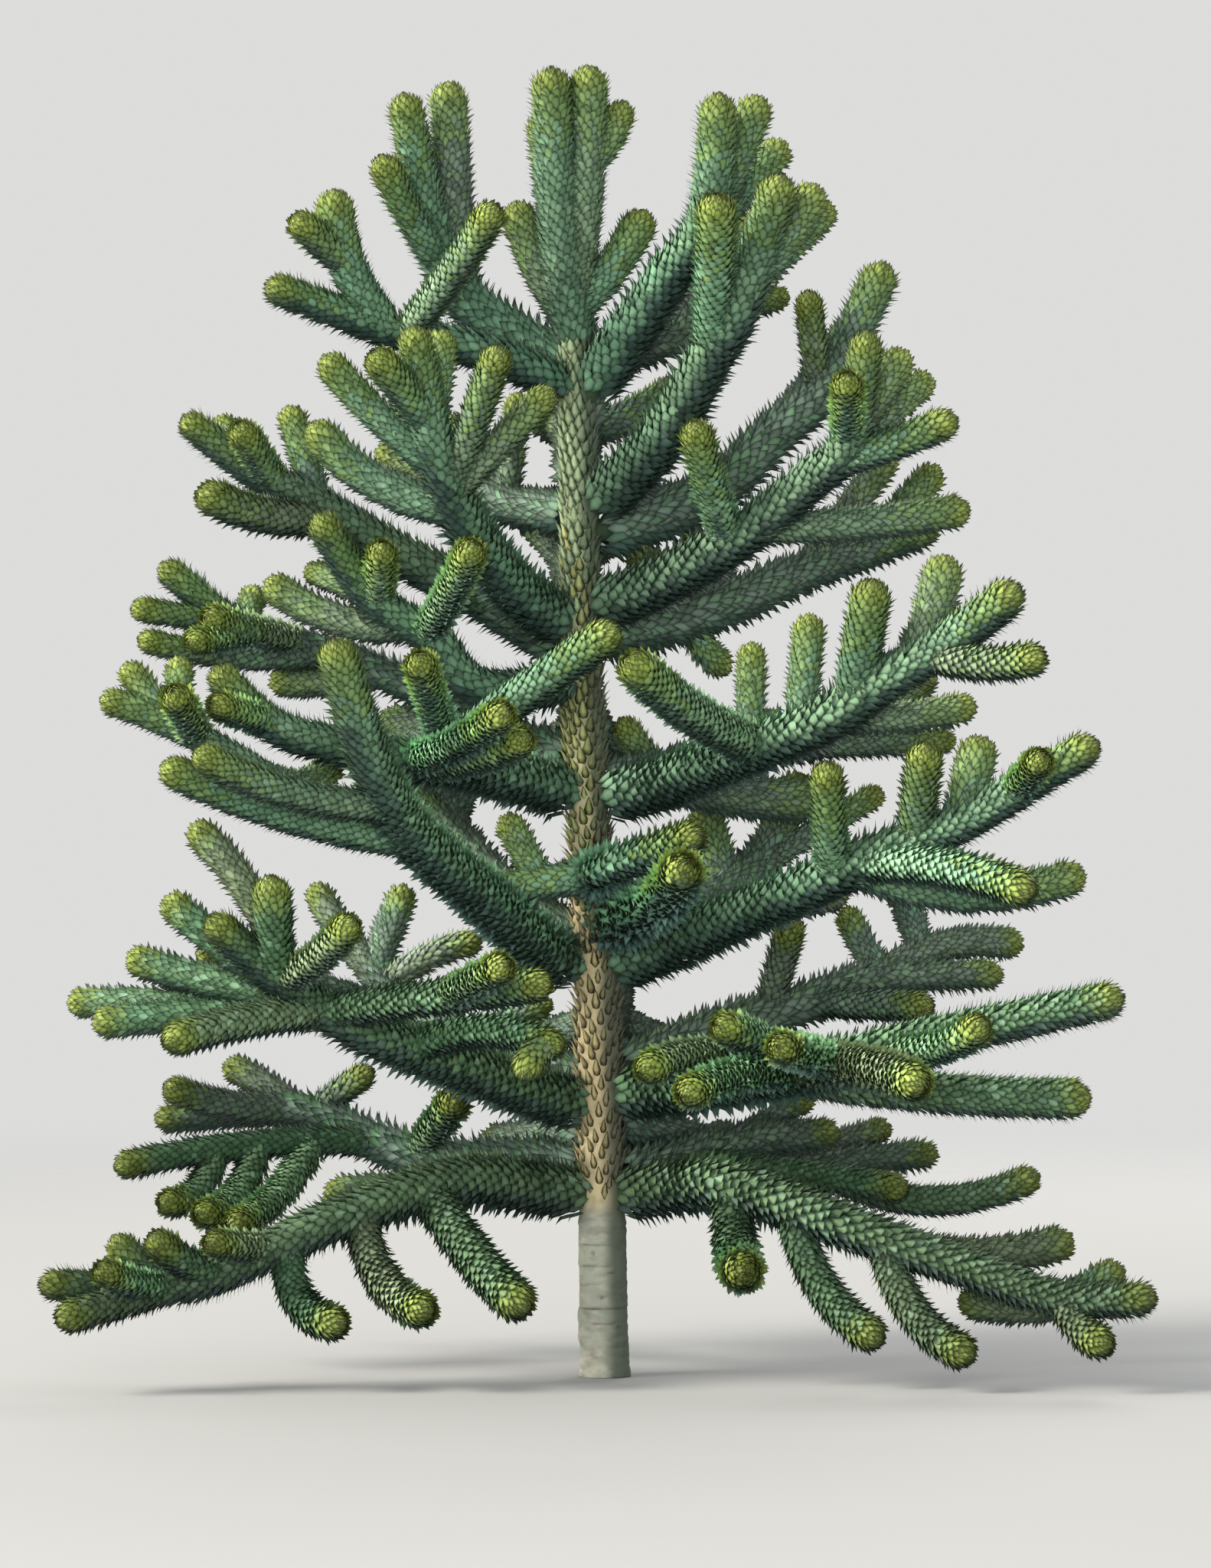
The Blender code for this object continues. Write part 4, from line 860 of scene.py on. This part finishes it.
def makeCores(groups):
    points, faces, first, shape = [], [], 0, coreShape
    sides, (lumpSize, lumpHeight, seed) = shape["sides"], shape["lumps"]
    turn = np.arange(sides) * 2 * math.pi / sides
    for one in limbs:
        length = one["line"]["length"]
        cap = reachAt(one, length)
        last = length - cap * (1 - shape["share"])
        rings = max(4, round(last / shape["step"]))
        marks = np.linspace(0.0, last - cap * shape["lastRing"], rings)
        marks = np.append(marks, [last - cap * left for left, _ in shape["ends"]])
        radius = shape["share"] * reachAt(one, marks)
        radius[-2:] *= [thin for _, thin in shape["ends"]]
        if one["rooted"]:
            radius *= shape["root"] + (1 - shape["root"]) * smoothStep(*shape["rootRun"], marks)
        middle, _, side, up = frameAt(one["line"], marks)
        radial = (side[:, None] * np.cos(turn)[None, :, None]
                  + up[:, None] * np.sin(turn)[None, :, None])
        place = middle[:, None] + radial * radius[:, None, None]
        place = place + radial * (softNoise(place, lumpSize, seed) * lumpHeight)[..., None]
        points.append(place.reshape(-1, 3))
        faces.append(tubeFaces(len(marks), sides) + first)
        first += len(marks) * sides
    piece = meshPiece("limb_wood", np.concatenate(points), np.concatenate(faces), {})
    material, tree, shader = principled("limb wood", *shape["finish"])
    mottle = useGroup(tree, groups["grain"], shape["grain"])
    plug(tree, shader, {"Base Color": mixColour(tree, mottle, *shape["colours"])})
    bumpFrom(tree, shader, mottle, *shape["bump"])
    piece.data.materials.append(material)
    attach(piece, "root")
    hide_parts(*[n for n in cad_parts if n.startswith("bough_")])
    print("limb wood made,", len(piece.data.polygons), "faces")


trunkBark = {
    "sides": 96,
    "bareStep": 0.0035,
    "leafyStep": 0.0075,
    "bareTo": (0.34, 0.385),
    "greenFrom": (1.0, 1.6),  # young green bark comes in over this stretch
    "over": 0.03,  # how far it reaches into the leader
    "foot": (0.25, 0.006),  # share of the relief at the ground, and where it is full
    "relief": 0.0012,  # made of lumps of this size, squeezed along the height, and strength
    "lumps": {"all": ((0.03, 2.6, 0.9), (0.011, 1.8, 0.5)),
              "bare": ((0.018, 3.0, 0.5),), "leafy": ((0.009, 0.45, 0.6),)},
    "lumpSeed": 11,
    "lumpLight": 0.35,  # how much lighter a lump is, painted light
    "rings": ((0.066, 0.0024), (0.074, 0.0016), (0.118, 0.0012), (0.147, 0.0022),
              (0.197, 0.0016), (0.238, 0.001), (0.285, 0.0014), (0.322, 0.0018)),
    "ringWidth": 0.0022,
    "ringDark": 0.75,
    "ringLip": (0.006, 0.005, 0.5),  # how far above it, how wide, share of its depth
    "ringWave": (0.004, 0.06, 15),  # how far a ring strays, over what size, and seed
    "ringFade": (-0.55, 0.45),  # rings come and go round the trunk
    "ringFadeSize": 0.045,
    "sleeve": (0.078, 0.152, 0.0035),  # thicker on the left: from, to and by how much
    "sleeveEnds": (0.02, 0.01, 0.005),  # how gently it sets in, below and above, and ends
    "sleeveSide": (0.1, 0.8),
    "sleeveTurn": 0.25,
    "knots": ((-0.02, 0.265, 0.0075), (-0.004, 0.17, 0.003), (0.03, 0.11, 0.004)),
    "knotForm": (0.9, 0.35, 0.6, 0.7),  # squeeze, and widths of its rim, hole and dark
    "knotDepth": 0.0022,
    "cracks": ((-0.026, 0.146, 0.012), (0.018, 0.225, 0.01)),
    "crackDepth": (0.0016, 0.0018),  # and how wide it is
    "whorls": (0.39, 0.6, 0.86, 0.96, 1.24, 1.57, 1.84, 2.1),
    "whorlSwell": (0.0035, 0.022),  # by how much, and over what height
}
# Painted shade on the trunk's right side: a patchy dark grey-green on bark and old leaves
trunkSideShade = {
    "side": (-0.15, 0.55),  # it comes in over this stretch, from the middle to the right edge
    "patches": (0.03, 17),  # their size and seed
    "squeeze": 0.5,
    "patchy": 0.16,
    "colour": (0.068, 0.08, 0.054),
    "strength": 0.88,
}


def sideShadeOn(side, places):
    # how much painted shade darkens the trunk, on the side where `side` is near 1
    squeezed = np.asarray(places) * (1, 1, trunkSideShade["squeeze"])
    patchy = softNoise(squeezed, *trunkSideShade["patches"])
    return smoothStep(*trunkSideShade["side"], side + trunkSideShade["patchy"] * patchy)


def makeTrunk(groups):
    shape, sides = trunkBark, trunkBark["sides"]
    leafy, top = trunkShape["leafyFrom"], trunkShape["top"] + shape["over"]
    heights = np.append(np.arange(0.0, leafy, shape["bareStep"]),
                        np.linspace(leafy, top, round((top - leafy) / shape["leafyStep"])))
    z, angle = np.meshgrid(heights, np.arange(sides) * 2 * math.pi / sides, indexing="ij")
    base = readOff(trunkShape["radius"], z)
    x, y = np.cos(angle) * base, np.sin(angle) * base
    at = np.stack([x, y, z], -1)
    bare = 1 - smoothStep(*shape["bareTo"], z)
    relief, seed = 0.0, shape["lumpSeed"]
    for part, share in (("all", 1.0), ("bare", bare), ("leafy", 1 - bare)):
        for size, squeeze, strength in shape["lumps"][part]:
            relief = relief + share * softNoise(at * (1, 1, squeeze), size, seed) * strength
            seed += 1
    out = relief * shape["relief"]
    stray, straySize, straySeed = shape["ringWave"]
    wavy = z + stray * softNoise(at, straySize, straySeed)
    above, lip, lipShare = shape["ringLip"]
    # painted shade in the ring grooves, knot holes and cracks; raised lumps are painted lighter
    grooveShade = np.zeros_like(z)
    for height, depth in shape["rings"]:
        fade = softNoise(at, shape["ringFadeSize"], int(height * 1000))
        seen = smoothStep(*shape["ringFade"], fade)
        dip = seen * bell((wavy - height) / shape["ringWidth"])
        grooveShade += shape["ringDark"] * dip
        out -= depth * dip
        out += lipShare * depth * seen * bell((wavy - height - above) / lip)
    low, high, thick = shape["sleeve"]
    below, into, brim = shape["sleeveEnds"]
    left = smoothStep(*shape["sleeveSide"], -np.cos(angle + shape["sleeveTurn"]))
    out += (left * thick * smoothStep(low - below, low + into, z)
            * (1 - smoothStep(high - brim, high, z)))
    behind = np.where(y > 0, 1, 0)  # knots and cracks are on the front only
    squeeze, rim, hole, dark = shape["knotForm"]
    for across, height, size in shape["knots"]:
        near = np.hypot(x - across, (z - height) * squeeze) + behind
        out += shape["knotDepth"] * bell((near - size) / (rim * size))
        out -= shape["knotDepth"] * bell(near / (hole * size))
        grooveShade += bell(near / (dark * size))
    deep, narrow = shape["crackDepth"]
    for across, height, wide in shape["cracks"]:
        near = np.where(y > 0, 9, np.hypot((x - across) / wide, (z - height) / narrow))
        out -= deep * bell(near)
        grooveShade += bell(near)
    swell, run = shape["whorlSwell"]
    for height in shape["whorls"]:
        out += swell * bell((z - height) / run)
    least, full = shape["foot"]
    radius = base + out * (least + (1 - least) * smoothStep(0.0, full, z))
    points = np.stack([readOff(trunkShape["lean"], z) + np.cos(angle) * radius,
                       np.sin(angle) * radius, z], -1)
    rings = len(heights)
    ends = np.array([[0.0, 0.0, 0.0], trunkPoint(top)])
    faces, turn = tubeFaces(rings, sides), np.arange(sides)
    turnOn, last, foot = (turn + 1) % sides, (rings - 1) * sides, rings * sides
    split = np.concatenate([
        faces[:, [0, 1, 2]], faces[:, [0, 2, 3]],
        np.stack([turnOn, turn, np.full(sides, foot)], 1),
        np.stack([last + turn, last + turnOn, np.full(sides, foot + 1)], 1)])
    piece = meshPiece("trunk_bark", np.concatenate([points.reshape(-1, 3), ends]), split, {
        "bare": np.append(bare.ravel(), [1, 0]),
        "hollowShade": np.append(np.clip(grooveShade - shape["lumpLight"] * relief, 0, 1).ravel(), [0, 0]),
        "green": np.append(smoothStep(*shape["greenFrom"], z).ravel(), [0, 1]),
        "sideShade": np.append(sideShadeOn(np.cos(angle), at).ravel(), [0, 0]),
    })
    piece.data.materials.append(barkMaterial(groups["grain"]))
    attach(piece, "root")
    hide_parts("trunk")
    print("trunk made,", len(split), "faces")


barkFinish = {
    "bare": ((0.205, 0.19, 0.145), (0.42, 0.395, 0.305)),
    "lichen": (0.275, 0.28, 0.215),
    "leafy": ((0.4, 0.31, 0.165), (0.56, 0.45, 0.25)),
    "upper": ((0.2, 0.215, 0.1), (0.29, 0.31, 0.165)),  # young bark, above
    # painted shade in the hollows
    "hollowShade": (0.045, 0.038, 0.026),
    "hollowShadeStrength": 0.8,
    "surface": (0.85, 0.2),  # roughness and specular
    "relief": (0.35, 0.0012),  # strength and depth of the bump
    # grain of each layer: scale, detail, height stretch and contrast
    "streaks": (30.0, 6.0, 0.45, 2.2), "patches": (13.0, 3.0, 1.0, 2.0),
    "spots": (17.0, 4.0, 0.7, 5.0), "bump": (230.0, 4.0, 2.0, 1.0),
}


def barkMaterial(grain):
    material, tree, shader = principled("bark", *barkFinish["surface"])
    finish = barkFinish

    def mask(layer):
        names = ("Scale", "Detail", "Height Stretch", "Contrast")
        return useGroup(tree, grain, dict(zip(names, finish[layer])))

    patches = mask("patches")
    bare = mixColour(tree, mask("streaks"), *finish["bare"])
    bare = mixColour(tree, mask("spots"), bare, finish["lichen"])
    leafy = mixColour(tree, patches, *finish["leafy"])
    upper = mixColour(tree, patches, *finish["upper"])
    colour = mixColour(tree, attribute(tree, "green"), leafy, upper)
    colour = mixColour(tree, attribute(tree, "bare"), colour, bare)
    # painted shade: darker on the right side and in the hollows
    for what, strength, over in (("sideShade", trunkSideShade["strength"], trunkSideShade["colour"]),
                                 ("hollowShade", finish["hollowShadeStrength"], finish["hollowShade"])):
        share = mathNode(tree, "MULTIPLY", attribute(tree, what), strength)
        colour = mixColour(tree, share, colour, over)
    plug(tree, shader, {"Base Color": colour})
    bumpFrom(tree, shader, mask("bump"), *finish["relief"])
    return material


# The old leaves that still stand on the trunk, from brown below to olive green above
trunkLeaf = {
    "length": 0.045,
    "width": ((0.37, 0.0165), (0.95, 0.0175), (1.5, 0.022), (2.2, 0.0265)),
    "room": ((0.37, 7.6e-4), (0.95, 6.8e-4), (1.5, 5.4e-4), (2.2, 4.2e-4)),
    "stand": ((0.37, 0.02), (1.0, 0.025), (1.6, 0.018), (2.2, 0.011)),
    "wander": 0.22,
    "sizeSpread": 0.7,  # the share of it that their sizes take
    "turnWander": 0.05,
    "upright": 0.92,  # the share of its length that a leaf goes up the trunk
    "keel": 0.003,
    "clear": 0.62,  # left out where this share of a limb's reach covers it
    "search": 0.06,
    "brownTo": (0.85, 1.25),
    "oliveTo": (1.45, 1.85),
    "sharpness": 1.7,
    "marks": 600,
    "seed": 21,
}
# eleven points: a rounded foot, two rows of the blade and a long sharp tip
oldLeafPoints = {
    "across": np.array([0.0, -0.36, 0.0, 0.36, -0.5, 0.0, 0.5, -0.27, 0.0, 0.27, 0.0]),
    "along": np.array([0.0, 0.1, 0.1, 0.1, 0.34, 0.34, 0.34, 0.68, 0.7, 0.68, 1.0]),
    "rise": np.array([-0.1, 0.02, 0.1, 0.02, 0.08, 0.22, 0.08, 0.4, 0.5, 0.4, 1.0]),
    "ridge": np.array([0.0, 0.0, 0.5, 0.0, 0.0, 1.0, 0.0, 0.0, 0.6, 0.0, 0.0]),
    "edge": np.array([1.0, 1.0, 0.3, 1.0, 1.0, 0.0, 1.0, 1.0, 0.1, 1.0, 1.0]),
}
# colours of blade, foot (painted shade), edge and drift
oldLeafFinish = {
    "brown": ((0.43, 0.335, 0.16), (0.06, 0.04, 0.02),
              (0.03, 0.02, 0.012), (0.28, 0.24, 0.1)),
    "olive": ((0.35, 0.345, 0.125), (0.075, 0.07, 0.03),
              (0.045, 0.05, 0.022), (0.27, 0.3, 0.11)),
    "pale": ((0.31, 0.36, 0.2), (0.07, 0.095, 0.04),
             (0.045, 0.072, 0.036), (0.25, 0.325, 0.165)),
}


def bladeFaces(rows):
    # faces of a keeled blade whose first and last points stand alone
    faces = [(0, 2, 1), (0, 3, 2), (0, 1, 3)]
    for a in range(1, 3 * rows - 2, 3):
        b, c = a + 1, a + 2
        for p, q in ((a, b), (b, c), (c, a)):
            faces += [(p, q, q + 3), (p, q + 3, p + 3)]
    a, b, c, tip = range(3 * rows - 2, 3 * rows + 2)
    return np.array(faces + [(a, b, tip), (b, c, tip), (c, a, tip)])


def clearOfLimbs(place):
    for _, other, distance in limbMap.find_range(Vector(place), trunkLeaf["search"]):
        if limbs[owners[other]]["rooted"] and distance < trunkLeaf["clear"] * reaches[other]:
            return False
    return True


def makeTrunkLeaves(groups):
    shape, blade = trunkLeaf, oldLeafPoints
    rng = np.random.default_rng(shape["seed"])
    fine = np.linspace(trunkShape["leafyFrom"], trunkShape["top"], shape["marks"])
    girth = 2 * math.pi * readOff(trunkShape["radius"], fine)
    at = spiralMarks(fine, girth / readOff(shape["room"], fine))
    count = len(at)
    spread = shape["sizeSpread"]
    size = 1 + shape["wander"] * rng.uniform(-spread, spread, count)
    long_ = shape["length"] * size
    wide = readOff(shape["width"], at) * size
    stand = readOff(shape["stand"], at) * (1 + shape["wander"] * rng.uniform(-1, 1, count))
    stray = rng.normal(0, shape["turnWander"], count)
    turn = np.arange(count) * leafShape["goldenTurn"] + stray
    z = at[:, None] + blade["along"][None] * long_[:, None] * shape["upright"]
    radius = readOff(trunkShape["radius"], z)
    height = blade["rise"][None] * stand[:, None] + (
        blade["ridge"][None] * shape["keel"] * size[:, None])
    across = blade["across"][None] * wide[:, None]
    height = height - across ** 2 / (2 * radius)
    cos, sin = np.cos(turn)[:, None], np.sin(turn)[:, None]
    points = np.stack([
        readOff(trunkShape["lean"], z) + cos * (radius + height) - sin * across,
        sin * (radius + height) + cos * across, z], -1)
    keep = np.array([clearOfLimbs(place) for place in points[:, 5]])
    pick = rng.uniform(0, 1, count)
    kind = np.where(smoothStep(*shape["brownTo"], at) > pick, 1, 0)
    kind = np.where(smoothStep(*shape["oliveTo"], at) > pick, 2, kind)
    faces, each = bladeFaces(3), len(blade["along"])
    for number, name in enumerate(oldLeafFinish):
        mask = keep & (kind == number)
        some = points[mask]
        grid = (faces[None] + each * np.arange(len(some))[:, None, None]).reshape(-1, 3)
        piece = meshPiece("trunk_leaves_" + name, some.reshape(-1, 3), grid, {
            "leafEdge": np.tile(blade["edge"], len(some)),
            "leafRun": np.tile(blade["along"], len(some)),
            "leafChance": np.repeat(rng.uniform(0, 1, len(some)), each),
            # on the trunk's leaves this mark is painted shade on the right side
            "limbToneAndShade": np.repeat(sideShadeOn(np.cos(turn[mask]), some[:, 5]), each),
        })
        piece.data.materials.append(leafMaterial("old leaf " + name, oldLeafFinish[name], groups, {
            "Olive And Shade": trunkSideShade["colour"], "Olive Strength": trunkSideShade["strength"],
            "Edge Sharpness": shape["sharpness"]}))
        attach(piece, "root")
        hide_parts("trunk")
        print(piece.name, len(some), "leaves")


# Stage and light
studio = {
    "sky": (0.72, 0.72, 0.712),  # what the camera sees behind the plant
    "skyLight": (0.93, 1.00, 1.07),  # and what falls on it from all round
    "floor": (0.29, 0.28, 0.262), "floorRadius": 14.0, "floorFade": (4.0, 11.0),
    "floorDrop": 0.0006, "floorSides": 96, "floorFinish": (0.9, 0.1),
    "aim": (0, 0, 1.3),
    "lamps": {  # place, size, power and colour
        "key": ((-16.3, -8.0, 12.6), 8.5, 10300.0, (1.0, 0.975, 0.93)),
        "side": ((-14.0, -5.0, 1.9), 2.4, 1500.0, (1.0, 0.97, 0.91)),
        "fill": ((-0.5, -12.5, 2.0), 5.0, 840.0, (0.86, 0.95, 1.0)),
        "rim": ((4.0, 9.0, 6.0), 5.0, 760.0, (1.0, 1.0, 1.0)),
    },
}


def makeLight():
    scene = bpy.context.scene
    scene.world = bpy.data.worlds.new("studio")
    scene.world.use_nodes = True
    tree = scene.world.node_tree
    seen = addNode(tree, "LightPath").outputs["Is Camera Ray"]
    colour = mixColour(tree, seen, studio["skyLight"], studio["sky"])
    plug(tree, tree.nodes["Background"], {"Color": colour})
    scene.view_settings.view_transform = "Standard"
    for name, (place, size, power, colour) in studio["lamps"].items():
        lamp = bpy.data.objects.new(name, bpy.data.lights.new(name, "AREA"))
        lamp.data.size = size
        lamp.data.energy = power
        lamp.data.color = colour
        lamp.location = place
        toTree = Vector(studio["aim"]) - Vector(place)
        lamp.rotation_euler = toTree.to_track_quat("-Z", "Y").to_euler()
        scene.collection.objects.link(lamp)
    print("light made")


def makeFloor():
    # a pale disc that fades out far from the plant
    sides = studio["floorSides"]
    number = np.arange(sides)
    turn = number * 2 * math.pi / sides
    rim = np.stack([np.cos(turn), np.sin(turn), np.zeros(sides)], 1) * studio["floorRadius"]
    points = np.concatenate([rim, [[0, 0, 0]]]) - (0, 0, studio["floorDrop"])
    faces = np.stack([number, (number + 1) % sides, np.full(sides, sides)], 1)
    floor = meshPiece("floor", points, faces, {}, smooth=False)
    material, tree, shader = principled("floor", *studio["floorFinish"])
    place = addNode(tree, "TexCoord").outputs["Object"]
    away = plug(tree, addNode(tree, "VectorMath", operation="LENGTH"), {0: place})
    start, end = studio["floorFade"]
    fade = plug(tree, addNode(tree, "MapRange", interpolation_type="SMOOTHSTEP"), {
        "From Min": start, "From Max": end, "To Min": 1.0, "To Max": 0.0,
        "Value": away.outputs["Value"]})
    plug(tree, shader, {"Base Color": studio["floor"], "Alpha": fade.outputs["Result"]})
    floor.data.materials.append(material)
    print("floor made")


makeCamera()
makeLight()
makeFloor()
grainGroup = makeGrain()
shared = {"grain": grainGroup, "tint": makeLeafTint(grainGroup)}
makeTrunk(shared)
makeCores(shared)
makeLeaves(shared)
makeTrunkLeaves(shared)
